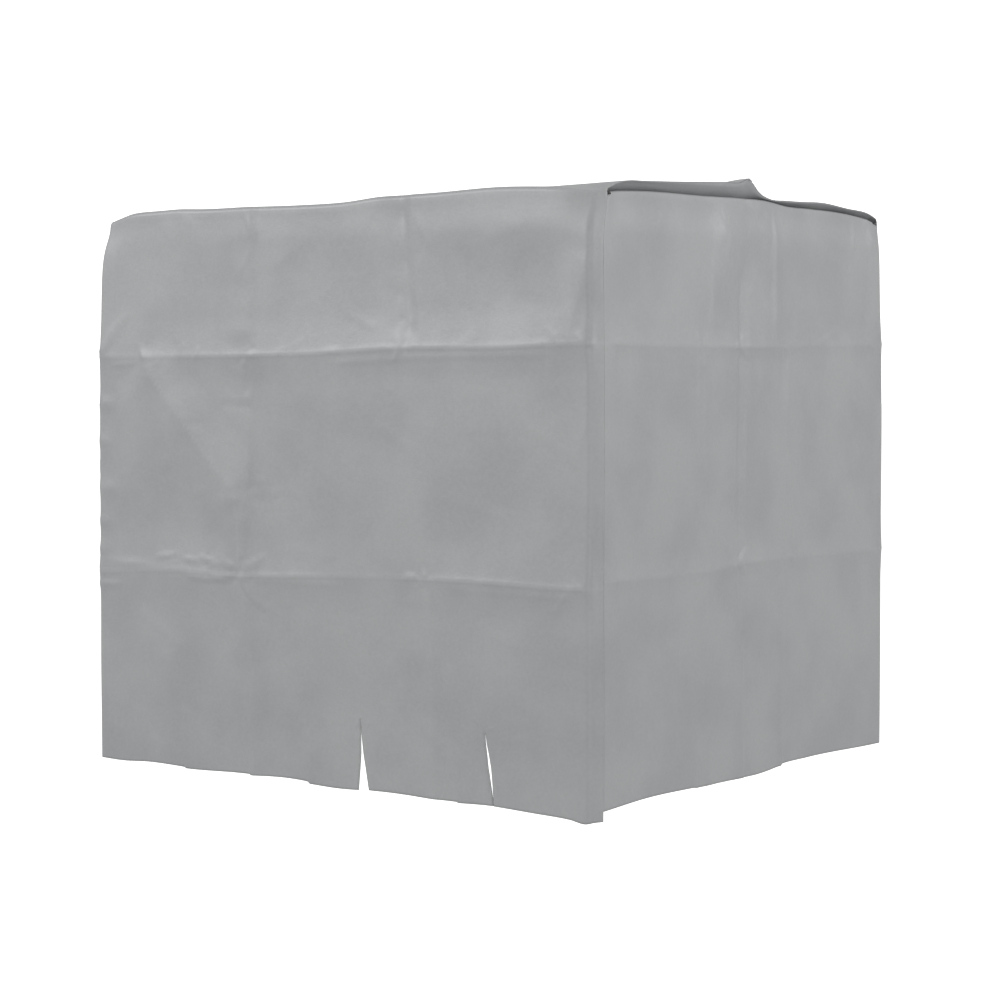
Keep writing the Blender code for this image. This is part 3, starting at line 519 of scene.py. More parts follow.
def scattered_creases(rng, half, count):
    """Loose crumples that a wall keeps from its packet, as rows of straight creases."""
    rows = []
    for _ in range(count):
        x, h = rng.uniform(-half, half), rng.uniform(0, DROP / MM)
        turn, reach = rng.uniform(0, math.pi), rng.uniform(*CRUMPLE_HALF)
        crest = rng.uniform(*CRUMPLE_CREST) * rng.choice((-1, 1))
        dx, dh = reach * math.cos(turn), reach * math.sin(turn)
        rows.append((x - dx, h - dh, x + dx, h + dh, crest,
                     rng.uniform(*CRUMPLE_REACH), rng.uniform(*CRUMPLE_REACH)))
    return rows


def knotted_creases(rng, knots):
    """Short puckers that run out of the places where folds cross."""
    rows = []
    for x, h, reach, count, crest in knots:
        for _ in range(count):
            turn = rng.uniform(0, 2 * math.pi)
            near, far = rng.uniform(*PUCKER_START) * reach, rng.uniform(*PUCKER_END) * reach
            dx, dh = math.cos(turn), math.sin(turn)
            proud = crest * rng.uniform(*PUCKER_CREST) * rng.choice((-1, 1), p=PUCKER_IN_OR_OUT)
            rows.append((x + near * dx, h + near * dh, x + far * dx, h + far * dh, proud,
                         rng.uniform(*PUCKER_REACH), rng.uniform(*PUCKER_REACH)))
    return rows


def uneven(place, seed):
    """A slow change along a fold, so that no crest is even. It swings about 1."""
    swing = sum(share * np.sin(waves * place + shift * seed) for waves, share, shift in UNEVEN_WAVES)
    return 1 + UNEVEN_CREST * swing


def relief(place, height, wall):
    """How far a wall's cloth stands proud of its plane, and how much its folds are painted lighter, as rubbed
    film and as a painted highlight.
    """
    cloth = Cloth(place, height)
    cloth.crease(wall["straight"], SLACK_POWER)
    cloth.bulge(wall["slack"])
    for seed, (line, crest, above, below) in enumerate(wall["round"]):
        high = along(crest, place) * uneven(place, wall["seed"] + seed)
        off = height - along(line, place)
        cloth.fold(off, high * ridge(off, above * MM, below * MM), high)
    for seed, (line, crest, sharp, before, after, lowest, highest) in enumerate(wall["upright"]):
        inside = smooth((height - lowest * MM) / FOLD_END) * smooth((highest * MM - height) / FOLD_END)
        high = crest * MM * inside * uneven(height, wall["seed"] - seed)
        off = place - along(line, height)
        line_reach = min(before * MM, UPRIGHT_SHARP_REACH)
        band = swell(off, before * MM, after * MM)
        edge = flank(off, line_reach, after * MM) ** SWELL_POWER
        cloth.fold(off, high * ((1 - sharp) * band + sharp * edge), sharp * high)
    rng = np.random.default_rng(wall["seed"])
    cloth.bulge(wall["dents"])
    cloth.crease(wall["fine"])
    cloth.crease(knotted_creases(rng, wall["knots"]))
    cloth.crease(scattered_creases(rng, wall["half"], CRUMPLES))
    cloth.proud -= wall["lean"] * MM * smooth((height - DROP) / LEAN_REACH + 1)
    return cloth.proud, cloth.wear_and_highlight


def hem_steps(place, height, steps):
    """How far the cloth drops beside each fold that crosses the hem."""
    drop = np.zeros_like(place)
    for x, down, run_out in steps:
        past = place - x * MM
        drop += down * MM * smooth(past / STEP_RUN + 0.5) * np.clip(1 - past / (run_out * MM), 0, 1)
    return drop * smooth(1 - height / LOW_FOLD)


def seam_wander(flat):
    """How far the upright seams wander outwards. Both panels of a seam share it."""
    return SEAM_WANDER * np.sin(flat * SEAM_WAVES)


def pocket_depth(y):
    return np.minimum(WIDTH / 2 - np.abs(y), POCKET_DEPTH)


def top_height(x, y):
    """The middle of the top's cloth over the tank, at any place."""
    inwards = LENGTH / 2 - np.abs(x)
    over_pocket = smooth((pocket_depth(y) + POCKET_MARGIN + POCKET_SLOPE - inwards) / POCKET_SLOPE)
    rest = LAYER / 2 + POCKET_LIFT * over_pocket
    edge = np.where(y < 0, along(FRONT_EDGE, x), along(BACK_EDGE, x))
    lip = np.where(x > 0, along(RIGHT_LIP, y), along(LEFT_LIP, y))
    near_edge = np.exp(-((WIDTH / 2 - TOP_BEND - np.abs(y)) / EDGE_REACH) ** 2)
    near_lip = np.exp(-(inwards / LIP_REACH) ** 2)
    return rest + (edge - rest) * near_edge * (1 - near_lip) + (lip - rest) * near_lip


def slump(x, y, z):
    """Let the top's corners hang and the walls spread, in every panel alike."""
    spread_out = 1 + SPREAD * smooth(-z / SPREAD_HEIGHT)
    x, y = x * spread_out, y * spread_out
    for side_x, side_y, down, in_x, in_y, reach in SLUMPS:
        corner = (side_x * LENGTH / 2, side_y * WIDTH / 2, FRONT_EDGE[0][1] * MM)
        away = (x - corner[0]) ** 2 + (y - corner[1]) ** 2 + (z - corner[2]) ** 2
        weight = np.exp(-away / (reach * MM) ** 2)
        x = x - side_x * in_x * MM * weight
        y = y - side_y * in_y * MM * weight
        z = z - down * MM * weight
    return x, y, z


def wall_height(flat, wall, place, top):
    """Raise a height on the flat cloth to its place on the hung wall, so rows follow the folds."""
    hem, low, high = (along(wall[name], place) for name in ("hem", "low", "high"))
    lower = hem + (low - hem) * flat / LOW_FOLD
    middle = low + (high - low) * (flat - LOW_FOLD) / (HIGH_FOLD - LOW_FOLD)
    upper = high + (top - high) * (flat - HIGH_FOLD) / (WALL - HIGH_FOLD)
    return np.where(flat < LOW_FOLD, lower, np.where(flat < HIGH_FOLD, middle, upper))


def corner_plan(across):
    """Plan of a long panel: place along the wall, depth behind it, way it faces, share of the corner."""
    side = np.sign(across)
    past = np.clip(np.abs(across) - FLAT_HALF, 0, None)
    turn = np.minimum(past, CORNER_ARC) / CORNER_BEND
    strip = np.clip(past - CORNER_ARC, 0, STRIP_RUN)
    beyond = np.clip(np.abs(across) - STRIP_HALF, 0, None)
    inwards = CORNER_TURN + np.minimum(beyond / SEAM_BEND, STRIP_TURN)
    allowance = np.clip(beyond - SEAM_BEND * STRIP_TURN, 0, None)
    reach = np.minimum(np.abs(across), FLAT_HALF)
    x = reach + CORNER_BEND * np.sin(turn) + strip * math.cos(CORNER_TURN)
    x = x + SEAM_BEND * (np.sin(inwards) - math.sin(CORNER_TURN)) - allowance
    depth = CORNER_BEND * (1 - np.cos(turn)) + strip * math.sin(CORNER_TURN)
    depth = depth + SEAM_BEND * (math.cos(CORNER_TURN) - np.cos(inwards))
    return side * x, depth, side * turn, np.minimum(past / (STRIP_HALF - FLAT_HALF), 1)


def hang_long_panel(across, up, facing, wall):
    """Place the flat cloth of the front (facing -1) or the back (facing 1), with how much its folds are
    painted lighter, as wear and as a painted highlight.
    """
    x, depth, turn, into_corner = corner_plan(across)
    out = WIDTH / 2 - depth
    edge = top_height(x, facing * (out - TOP_BEND))
    flat = np.minimum(up, WALL)
    h = wall_height(flat, wall, x, edge + DROP - TOP_BEND)
    proud, wear_and_highlight = relief(x, h, wall)
    h = h - hem_steps(x, flat, wall["steps"])
    proud = proud * (1 - smooth(CORNER_FADE * into_corner)) + seam_wander(flat) * smooth(into_corner)
    x = x + proud * np.sin(turn)
    out = out + proud * np.cos(turn)

    bend = np.clip((up - WALL) / BEND_RUN, 0, 1) * math.pi / 2
    z = h - DROP + TOP_BEND * np.sin(bend)
    out = out - TOP_BEND * (1 - np.cos(bend))

    run = np.clip((up - WALL - BEND_RUN) / TOP_LENGTH, 0, 1)
    out = out + (FIN_FOOT - out) * run
    top = Cloth(x, facing * out)
    top.crease(TOP_CREASES)
    from_edge = np.minimum(LENGTH / 2 - np.abs(x), np.minimum(run, 1 - run) * TOP_LENGTH)
    rise = top.proud * smooth(from_edge / TOP_FADE)
    z = np.where(run > 0, top_height(x, facing * out) + rise, z)
    wear_and_highlight = np.where(run > 0, top.wear_and_highlight * smooth(from_edge / TOP_FADE), wear_and_highlight)

    past_top = up - WALL - BEND_RUN - TOP_LENGTH
    turn_up = np.clip(past_top / FIN_RUN, 0, 1) * math.pi / 2
    rise = FIN_BEND * (1 - np.cos(turn_up)) + np.clip(past_top - FIN_RUN, 0, None)
    rise = rise * (1 - FIN_TAPER * smooth(1 - (LENGTH / 2 - np.abs(x)) / FIN_TAPER_RUN))
    return slump(x, facing * (out - FIN_BEND * np.sin(turn_up)), z + rise), wear_and_highlight


def pocket_floor(x, y, crease):
    """The lower layer of a pocket: it dips from the mouth's crease to the tank's top."""
    rest = np.minimum(LAYER / 2, top_height(x, y) - POCKET_LIFT)
    inwards = LENGTH / 2 - CREASE_BEND - np.abs(x)
    return rest + (crease - rest) * np.exp(-(inwards / MOUTH_REACH) ** 2)


def gusset_wall_top(y, crease, lip):
    """Where a gusset's wall ends: at its crease, or under the long panel's bend at the corners."""
    from_corner = SEAM_Y - np.abs(y)
    short = np.clip(TOP_BEND - from_corner, 0, TOP_BEND)
    bend_foot = along(lip, np.sign(y) * (SEAM_Y - TOP_BEND)) - TOP_BEND
    under_bend = bend_foot + np.sqrt(TOP_BEND ** 2 - short ** 2) - LAYERS_UNDER_BEND * LAYER
    at_crease = crease - CREASE_BEND
    return np.where(np.abs(y) > POCKET_EDGE + ROUNDING, np.minimum(under_bend, at_crease), at_crease)


def hang_gusset(across, up, side, wall):
    """Place the flat cloth of an end gusset: its wall, then the pocket tucked under the top."""
    y = np.clip(across, -GUSSET_FLAT, GUSSET_FLAT)
    beyond = np.abs(across) - np.abs(y)
    seam_turn = np.minimum(beyond / SEAM_BEND, math.pi / 2)
    seam_back = SEAM_BEND * (1 - np.cos(seam_turn)) + np.clip(beyond - GUSSET_TURN, 0, None)
    crease = along(wall["mouth"], y)
    flat = np.minimum(up, WALL)
    h = wall_height(flat, wall, y, gusset_wall_top(y, crease, wall["lip"]) + DROP)
    by_seam = 1 - smooth((GUSSET_FLAT - np.abs(y)) / SEAM_BLEND)
    proud, wear_and_highlight = relief(y, h, wall)
    h = h - hem_steps(y, flat, wall["steps"])
    wall_x = LENGTH / 2 + proud * (1 - by_seam)
    wander = seam_wander(flat) * by_seam
    wall_x = wall_x + wander * math.sin(CORNER_TURN) - seam_back
    y = y + np.sign(y) * (wander * math.cos(CORNER_TURN) + SEAM_BEND * np.sin(seam_turn))

    stage = up - WALL
    turn = np.clip(stage / CREASE_RUN, 0, 1) * math.pi / 2
    wall_x = wall_x - CREASE_BEND * (1 - np.cos(turn))
    wall_z = h - DROP + CREASE_BEND * np.sin(turn)

    inner = LENGTH / 2 - pocket_depth(y)
    stage = stage - CREASE_RUN
    in_x = wall_x + (inner - wall_x) * np.clip(stage / POCKET_DEPTH, 0, 1)
    in_z = pocket_floor(side * in_x, y, crease)

    stage = stage - POCKET_DEPTH
    roll = np.clip(stage / TURN_RUN, 0, 1) * math.pi
    floor_end = pocket_floor(side * inner, y, crease)
    roof_end = floor_end + LAYERS_APART
    turn_x = inner - TURN_DEPTH * np.sin(roll)
    turn_z = (roof_end + floor_end) / 2 - (roof_end - floor_end) / 2 * np.cos(roll)

    stage = stage - TURN_RUN
    lip_x = LENGTH / 2 - LIP_INSET
    out_x = inner + (lip_x - inner) * np.clip(stage / POCKET_DEPTH, 0, 1)
    at_lip = top_height(side * out_x, y) - LAYER_AT_LIP
    on_floor = pocket_floor(side * out_x, y, crease) + LAYERS_APART
    fall = np.minimum(ROOF_FALL, ROOF_SHARE * (lip_x - inner))
    out_z = at_lip + (on_floor - at_lip) * smooth((lip_x - out_x) / fall)

    on_wall = up <= WALL + CREASE_RUN
    running_in = up <= WALL + CREASE_RUN + POCKET_DEPTH
    turning = up <= WALL + CREASE_RUN + POCKET_DEPTH + TURN_RUN
    x = np.select([on_wall, running_in, turning], [wall_x, in_x, turn_x], out_x)
    z = np.select([on_wall, running_in, turning], [wall_z, in_z, turn_z], out_z)
    return slump(side * x, y, z), np.where(on_wall, wear_and_highlight, 0)


# Places beside which the cut grids' lines lie closer together, in mm, and how far that reaches, in metres
FOLD_STEP_REACH = 0.022
FRONT_CLOSE = (-482, -362, -330, -202, -190, -45, 79, 88, 180, 196, 242, 310, 371, 389, 531, 584)
BACK_CLOSE = (-198, 206)
RIGHT_CLOSE = (-486, -196, -172, -148, -120, -57, -40, -28, 85, 106, 130, 160, 413, 486, 500)
LEFT_CLOSE = (20, 30)
WALL_CLOSE = (0, 60, 120, 385, 400, 415, 815, 830, 845)
FINE_PLACES = 4001

# Steps of the grids round the bends and over the narrow stretches
TOP_BEND_STEPS = 7
CORNER_STEPS = 5
TURN_STEPS = 4
ALLOWANCE_STEPS = 2
POCKET_CROWDING = 1.5


def stations(low, high, close, widest, closest, exact=()):
    """Places of a grid's lines from low to high, closer together beside the folds, through the exact ones."""
    fine = np.linspace(low, high, FINE_PLACES)
    near = np.zeros_like(fine)
    for place in close:
        near = np.maximum(near, smooth(2 - np.abs(fine - place * MM) / FOLD_STEP_REACH))
    per_metre = 1 / widest + (1 / closest - 1 / widest) * near
    count = np.concatenate(([0], np.cumsum((per_metre[1:] + per_metre[:-1]) / 2 * np.diff(fine))))
    lines = np.interp(np.linspace(0, count[-1], round(count[-1]) + 1), count, fine)
    for place in exact:
        lines[1 + np.argmin(np.abs(lines[1:-1] - place))] = place
    return list(lines)


def spread(start, length, shares):
    """Places along a stretch of cloth, at the given shares of its length."""
    return [start + length * share for share in shares]


def even(count):
    """The shares of a stretch that is cut in equal steps."""
    return [step / count for step in range(1, count + 1)]


def cut_cloth(name, columns, rows):
    """A flat cut of cloth as a grid, with its lines at the given places."""
    if bpy.context.object and bpy.context.object.mode != "OBJECT":
        bpy.ops.object.mode_set(mode="OBJECT")
    bpy.ops.object.select_all(action="DESELECT")
    bpy.ops.mesh.primitive_grid_add(x_subdivisions=len(columns) - 1, y_subdivisions=len(rows) - 1, size=2)
    cloth = bpy.context.object
    cloth.name = name
    cloth.data.name = name
    points = read_points(cloth)
    column = np.rint((points[:, 0] + 1) / 2 * (len(columns) - 1)).astype(int)
    row = np.rint((points[:, 1] + 1) / 2 * (len(rows) - 1)).astype(int)
    if len(points) != len(columns) * len(rows):
        raise RuntimeError(f"{name}: the grid has {len(points)} points")
    points[:, 0] = np.array(columns)[column]
    points[:, 1] = np.array(rows)[row]
    write_points(cloth, points)
    return cloth


def read_points(piece):
    points = np.zeros(len(piece.data.vertices) * 3)
    piece.data.vertices.foreach_get("co", points)
    return points.reshape(-1, 3)


def write_points(piece, points):
    piece.data.vertices.foreach_set("co", points.astype(np.float32).ravel())
    piece.data.update()


def edit_mesh(piece):
    """Open a piece in edit mode with nothing selected."""
    bpy.ops.object.select_all(action="DESELECT")
    piece.select_set(True)
    bpy.context.view_layer.objects.active = piece
    bpy.ops.object.mode_set(mode="EDIT")
    bpy.ops.mesh.select_all(action="DESELECT")
    return bmesh.from_edit_mesh(piece.data)


def close_edit(piece):
    bmesh.update_edit_mesh(piece.data)
    bpy.ops.object.mode_set(mode="OBJECT")


def cut_slits(cloth):
    """Split the flat front up from its hem at each slit."""
    mesh = edit_mesh(cloth)
    bpy.ops.mesh.select_mode(type="EDGE")
    for edge in mesh.edges:
        places = [vert.co for vert in edge.verts]
        for at_hem, *_ in SLITS:
            on_slit = all(abs(place.x - at_hem * MM) < ROUNDING for place in places)
            if on_slit and max(place.y for place in places) < SLIT_TOP + ROUNDING:
                edge.select = True
    bpy.ops.mesh.edge_split(type="EDGE")
    close_edit(cloth)


def slit_sides(cloth, at_hem):
    """Which side of a slit each point lies on: -1, 1, or 0 at its closed end."""
    points = read_points(cloth)
    side = np.sign(np.round(points[:, 0] - at_hem, DIGITS))
    middles = {}
    for face in cloth.data.polygons:
        for index in face.vertices:
            if side[index] == 0:
                middles.setdefault(index, []).append(face.center.x)
    for index, found in middles.items():
        if all(x > at_hem for x in found):
            side[index] = 1
        elif all(x < at_hem for x in found):
            side[index] = -1
    return side


def open_slits(cloth):
    """Spread the sides of each slit, and give how far the flap's edges curl inwards."""
    curl = np.zeros(len(cloth.data.vertices))
    moved = read_points(cloth)
    flat = moved.copy()
    for at_hem, at_top, *widths, flap in SLITS:
        start = at_hem * MM
        side = slit_sides(cloth, start)
        up = np.clip(flat[:, 1] / SLIT_TOP, 0, 1)
        width = np.interp(up, np.linspace(0, 1, len(widths)), np.array(widths) * MM)
        near = smooth(1 - np.abs(flat[:, 0] - start) / SLIT_REACH)
        below = np.where(flat[:, 1] < SLIT_TOP, 1, 0)
        moved[:, 0] += near * (side * width / 2 * below + (at_top - at_hem) * MM * up * below)
        edge = np.clip(1 - np.abs(flat[:, 0] - start) / CURL_REACH, 0, 1) ** 2
        curl += CURL * edge * np.where(side == flap, 1, 0) * (1 - up)
    write_points(cloth, moved)
    return curl


def trim_corners(cloth, kept):
    """Cut away the cloth over the walls that lies further out than what is kept of it."""
    mesh = edit_mesh(cloth)
    bpy.ops.mesh.select_mode(type="FACE")
    for face in mesh.faces:
        middle = face.calc_center_median()
        if middle.y > WALL and abs(middle.x) > kept:
            face.select = True
    bpy.ops.mesh.delete(type="FACE")
    close_edit(cloth)


def hang(cloth, place_cloth, curl=None):
    """Move the flat cloth to its place on the hung cover. Its flat places stay as its UV map, in metres.

    The curl moves points of the front backwards, along Y.
    """
    flat = read_points(cloth)
    lay_out = cloth.data.uv_layers[0]
    lay_out.name = "flat"
    corners = np.zeros(len(cloth.data.loops), dtype=np.int32)
    cloth.data.loops.foreach_get("vertex_index", corners)
    low = flat.min(axis=0)
    lay_out.data.foreach_set("uv", (flat[corners, :2] - low[:2]).astype(np.float32).ravel())
    (x, y, z), wear_and_highlight = place_cloth(flat[:, 0], flat[:, 1])
    if curl is not None:
        y = y + curl
    write_points(cloth, np.column_stack((x, y, z)))
    # How much each point is painted lighter along the folds: rubbed film and a painted highlight
    rubbed_and_highlit = cloth.data.attributes.new("wear_and_highlight", "FLOAT", "POINT")
    rubbed_and_highlit.data.foreach_set("value", wear_and_highlight.astype(np.float32))


def make_sheet(cloth, flip, thickness):
    """Give the hung surface its thickness, with its faces outwards."""
    if flip:
        edit_mesh(cloth)
        bpy.ops.mesh.select_all(action="SELECT")
        bpy.ops.mesh.flip_normals()
        close_edit(cloth)
    sheet = cloth.modifiers.new("Thickness", "SOLIDIFY")
    sheet.thickness = thickness
    sheet.offset = 0
    sheet.use_even_offset = True
    bpy.ops.object.select_all(action="DESELECT")
    cloth.select_set(True)
    bpy.context.view_layer.objects.active = cloth
    bpy.ops.object.modifier_apply(modifier=sheet.name)
    bpy.ops.object.shade_smooth()


def finish_panel(cloth, node):
    """Dress a panel and tie it to the CAD panel that it stands for."""
    cloth.data.materials.clear()
    cloth.data.materials.append(silver_coated_cloth())
    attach(cloth, BODY)
    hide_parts(node)


def long_panel_rows(sizes, exact):
    wall = stations(0, WALL, WALL_CLOSE, sizes.step, sizes.fold_step, exact)
    bend = spread(WALL, BEND_RUN, even(TOP_BEND_STEPS))
    top = spread(bend[-1], TOP_LENGTH, even(sizes.top_rows))
    fin = [top[-1] + FIN_RUN / 2, top[-1] + FIN_RUN, top[-1] + FIN_RUN + (FIN_HEIGHT - FIN_BEND) / 2,
           top[-1] + FIN_RUN + FIN_HEIGHT - FIN_BEND]
    return wall + bend + top + fin


def long_panel_columns(sizes, close, exact):
    flat = stations(-FLAT_HALF, FLAT_HALF, close, sizes.step, sizes.fold_step, exact)
    corner = spread(FLAT_HALF, CORNER_ARC, even(CORNER_STEPS))
    corner += spread(corner[-1], STRIP_RUN, even(TURN_STEPS))
    corner += spread(corner[-1], SEAM_BEND * STRIP_TURN, even(TURN_STEPS))
    corner += spread(corner[-1], ALLOWANCE, even(ALLOWANCE_STEPS))
    return [-place for place in reversed(corner)] + flat + corner


def gusset_columns(sizes, close):
    middle = stations(-POCKET_EDGE, POCKET_EDGE, close, sizes.step, sizes.fold_step)
    edge = spread(POCKET_EDGE, GUSSET_FLAT - POCKET_EDGE, even(TURN_STEPS))
    edge += spread(edge[-1], GUSSET_TURN, even(TURN_STEPS))
    edge += spread(edge[-1], ALLOWANCE, even(ALLOWANCE_STEPS))
    return [-place for place in reversed(edge)] + middle + edge


def gusset_rows(sizes):
    wall = stations(0, WALL, WALL_CLOSE, sizes.step, sizes.fold_step, (LOW_FOLD, HIGH_FOLD))
    crease = spread(WALL, CREASE_RUN, even(TURN_STEPS))
    shares = even(sizes.pocket_rows)
    run_in = spread(crease[-1], POCKET_DEPTH, [share ** POCKET_CROWDING for share in shares])
    turn = spread(run_in[-1], TURN_RUN, even(TURN_STEPS))
    run_out = spread(turn[-1], POCKET_DEPTH, [1 - (1 - share) ** POCKET_CROWDING for share in shares])
    return wall + crease + run_in + turn + run_out


def linear(text):
    """Turn a six-digit sRGB colour to linear red, green and blue."""
    values = (int(text[i:i + 2], 16) / 255 for i in (0, 2, 4))
    return tuple(v / 12.92 if v <= 0.04045 else ((v + 0.055) / 1.055) ** 2.4 for v in values)


def add_node(tree, kind, links=None, **settings):
    """Add a node with its settings and its links. A setting named for a socket sets that socket."""
    node = tree.nodes.new(kind)
    for name, value in settings.items():
        if hasattr(node, name):
            setattr(node, name, value)
        else:
            node.inputs[name.replace("_", " ").title()].default_value = value
    for name, source in (links or {}).items():
        tree.links.new(source, node.inputs[name])
    return node


# Sizes of the film's and the weave's patterns on the cloth, in mm
CLOUD_SIZE = 142.857
MOTTLE_SIZE = 6.6667
CRINKLE_SIZE = 22.222
FINE_CRINKLE_SIZE = 3.8462

# How far a folded line takes the lighter colour of rubbed film, which also stands as a painted highlight of
# the line
RUBBED_AND_HIGHLIT_SHARE = 0.16

# The real threads lie about 0.3 mm apart. They are drawn further apart, so that the weave just shows. A wave
# texture draws so many bands in a metre at scale 1.
THREAD_SPACING = 1.5708
WAVE_BANDS = 20 / (2 * math.pi)


def per_metre(size):
    """How often a size in millimetres fits in a metre, which is the scale of a noise with such spots."""
    return 1 / (size * MM)


def silver_coated_cloth():
    """Coated polyester taffeta: fine even threads under a thin grey film with aluminium in it.

    The film gives a soft satin sheen, a faint cloudiness and fine crinkles, and it
    is painted a little lighter along its folds: partly film a fold has rubbed, partly a painted highlight.
    """
    made = bpy.data.materials.get("silver_coated_polyester")
    if made:
        return made
    colours = bpy.context.scene.tank_cover_colours
    material = bpy.data.materials.new("silver_coated_polyester")
    material.use_nodes = True
    tree = material.node_tree
    shader = tree.nodes["Principled BSDF"]
    shader.inputs["Metallic"].default_value = 0.15
    shader.inputs["IOR"].default_value = 1.5
    shader.inputs["Sheen Weight"].default_value = 0.05

    place = add_node(tree, "ShaderNodeTexCoord").outputs
    flat = add_node(tree, "ShaderNodeUVMap", uv_map="flat").outputs["UV"]
    clouds = add_node(tree, "ShaderNodeTexNoise", {"Vector": place["Object"]}, scale=per_metre(CLOUD_SIZE),
                      detail=3.0)
    mottle = add_node(tree, "ShaderNodeTexNoise", {"Vector": place["Object"]},
                      scale=per_metre(MOTTLE_SIZE), detail=4.0, roughness=0.7)
    wear_and_highlight = add_node(tree, "ShaderNodeAttribute", attribute_name="wear_and_highlight")

    cloudy = add_node(tree, "ShaderNodeMapRange", {"Value": clouds.outputs["Fac"]},
                      interpolation_type="SMOOTHSTEP", from_min=0.3, from_max=0.7)
    tone = add_node(tree, "ShaderNodeMix", {"Factor": cloudy.outputs["Result"]}, data_type="RGBA")
    tone.inputs["A"].default_value = (*colours.cloth_dark, 1)
    tone.inputs["B"].default_value = (*colours.cloth_light, 1)
    fleck = add_node(tree, "ShaderNodeMapRange", {"Value": mottle.outputs["Fac"]},
                     from_min=0.3, from_max=0.7, to_min=0.96, to_max=1.04)
    flecked = add_node(tree, "ShaderNodeVectorMath", {0: tone.outputs["Result"], 1: fleck.outputs["Result"]},
                       operation="MULTIPLY")
    # Fold lines are painted lighter: partly rubbed film, partly a painted highlight of the line
    rub_and_highlight = add_node(tree, "ShaderNodeMath", {0: wear_and_highlight.outputs["Fac"]}, operation="MULTIPLY")
    rub_and_highlight.inputs[1].default_value = RUBBED_AND_HIGHLIT_SHARE
    worn_and_highlit = add_node(tree, "ShaderNodeMix", {"Factor": rub_and_highlight.outputs[0], "A": flecked.outputs[0]},
                    data_type="RGBA")
    worn_and_highlit.inputs["B"].default_value = (*colours.rubbed_and_highlit, 1)
    tree.links.new(worn_and_highlit.outputs["Result"], shader.inputs["Base Color"])

    dull = add_node(tree, "ShaderNodeMapRange", {"Value": clouds.outputs["Fac"]}, to_min=0.42, to_max=0.56)
    tree.links.new(dull.outputs["Result"], shader.inputs["Roughness"])

    crinkle = add_node(tree, "ShaderNodeTexNoise", {"Vector": flat}, scale=per_metre(CRINKLE_SIZE),
                       detail=5.0, roughness=0.6)
    fine = add_node(tree, "ShaderNodeTexNoise", {"Vector": flat}, scale=per_metre(FINE_CRINKLE_SIZE),
                    detail=3.0, roughness=0.6)
    threads = per_metre(THREAD_SPACING) / WAVE_BANDS
    across = add_node(tree, "ShaderNodeTexWave", {"Vector": flat}, bands_direction="X", scale=threads)
    upwards = add_node(tree, "ShaderNodeTexWave", {"Vector": flat}, bands_direction="Y", scale=threads)
    weave = add_node(tree, "ShaderNodeMath", {0: across.outputs["Fac"], 1: upwards.outputs["Fac"]},
                     operation="MULTIPLY")
    first = add_node(tree, "ShaderNodeBump", {"Height": crinkle.outputs["Fac"]},
                     strength=0.35, distance=0.0014)
    second = add_node(tree, "ShaderNodeBump", {"Height": fine.outputs["Fac"], "Normal": first.outputs[0]},
                      strength=0.4, distance=0.0005)
    third = add_node(tree, "ShaderNodeBump", {"Height": weave.outputs[0], "Normal": second.outputs[0]},
                     strength=0.25, distance=0.0002)
    tree.links.new(third.outputs[0], shader.inputs["Normal"])
    return material


def pale_paint(name, colour, glow):
    """A matt studio paint. Its own glow keeps it pale right to the horizon."""
    material = bpy.data.materials.new(name)
    material.use_nodes = True
    shader = material.node_tree.nodes["Principled BSDF"]
    shader.inputs["Base Color"].default_value = (*colour, 1)
    shader.inputs["Roughness"].default_value = 0.9
    shader.inputs["Specular IOR Level"].default_value = 0.0
    shader.inputs["Emission Color"].default_value = (*colour, 1)
    shader.inputs["Emission Strength"].default_value = glow
    return material


def show_to_camera_only(piece):
    """A stage surface that the camera sees, while the cover takes its light from the lights alone."""
    piece.visible_diffuse = False
    piece.visible_glossy = False
    piece.visible_transmission = False
    piece.visible_shadow = False


class CoverSizes(bpy.types.PropertyGroup):
    """Sizes of the dressed cover."""
    cloth: bpy.props.FloatProperty(
        name="Cloth", description="Thickness of the coated cloth", default=0.0008, min=0.0002, unit="LENGTH")
    step: bpy.props.FloatProperty(
        name="Step", description="Widest step of the cloth's grid", default=0.0082, min=0.003, unit="LENGTH")
    fold_step: bpy.props.FloatProperty(
        name="Fold step", description="Closest step of the grid, beside a fold", default=0.0047, min=0.002,
        unit="LENGTH")
    top_rows: bpy.props.IntProperty(
        name="Top rows", description="Steps of a long panel's grid over the top", default=30, min=8)
    pocket_rows: bpy.props.IntProperty(
        name="Pocket rows", description="Steps of a gusset's grid in each layer of its pocket", default=14,
        min=6)


class CoverColours(bpy.types.PropertyGroup):
    """Colours of the dressed cover and its stage."""
    cloth_light: bpy.props.FloatVectorProperty(
        name="Cloth, light", description="Lighter clouds of the film", subtype="COLOR", size=3,
        default=linear("A4A5A6"))
    cloth_dark: bpy.props.FloatVectorProperty(
        name="Cloth, dark", description="Darker clouds of the film", subtype="COLOR", size=3,
        default=linear("9D9EA0"))
    # Colour of a fold's line: rubbed film, and a painted highlight of the line
    rubbed_and_highlit: bpy.props.FloatVectorProperty(
        name="Rubbed folds", description="Film rubbed along a fold", subtype="COLOR", size=3,
        default=linear("BEBFC0"))
    floor: bpy.props.FloatVectorProperty(
        name="Floor", description="Pale floor", subtype="COLOR", size=3, default=linear("F0F0F0"))


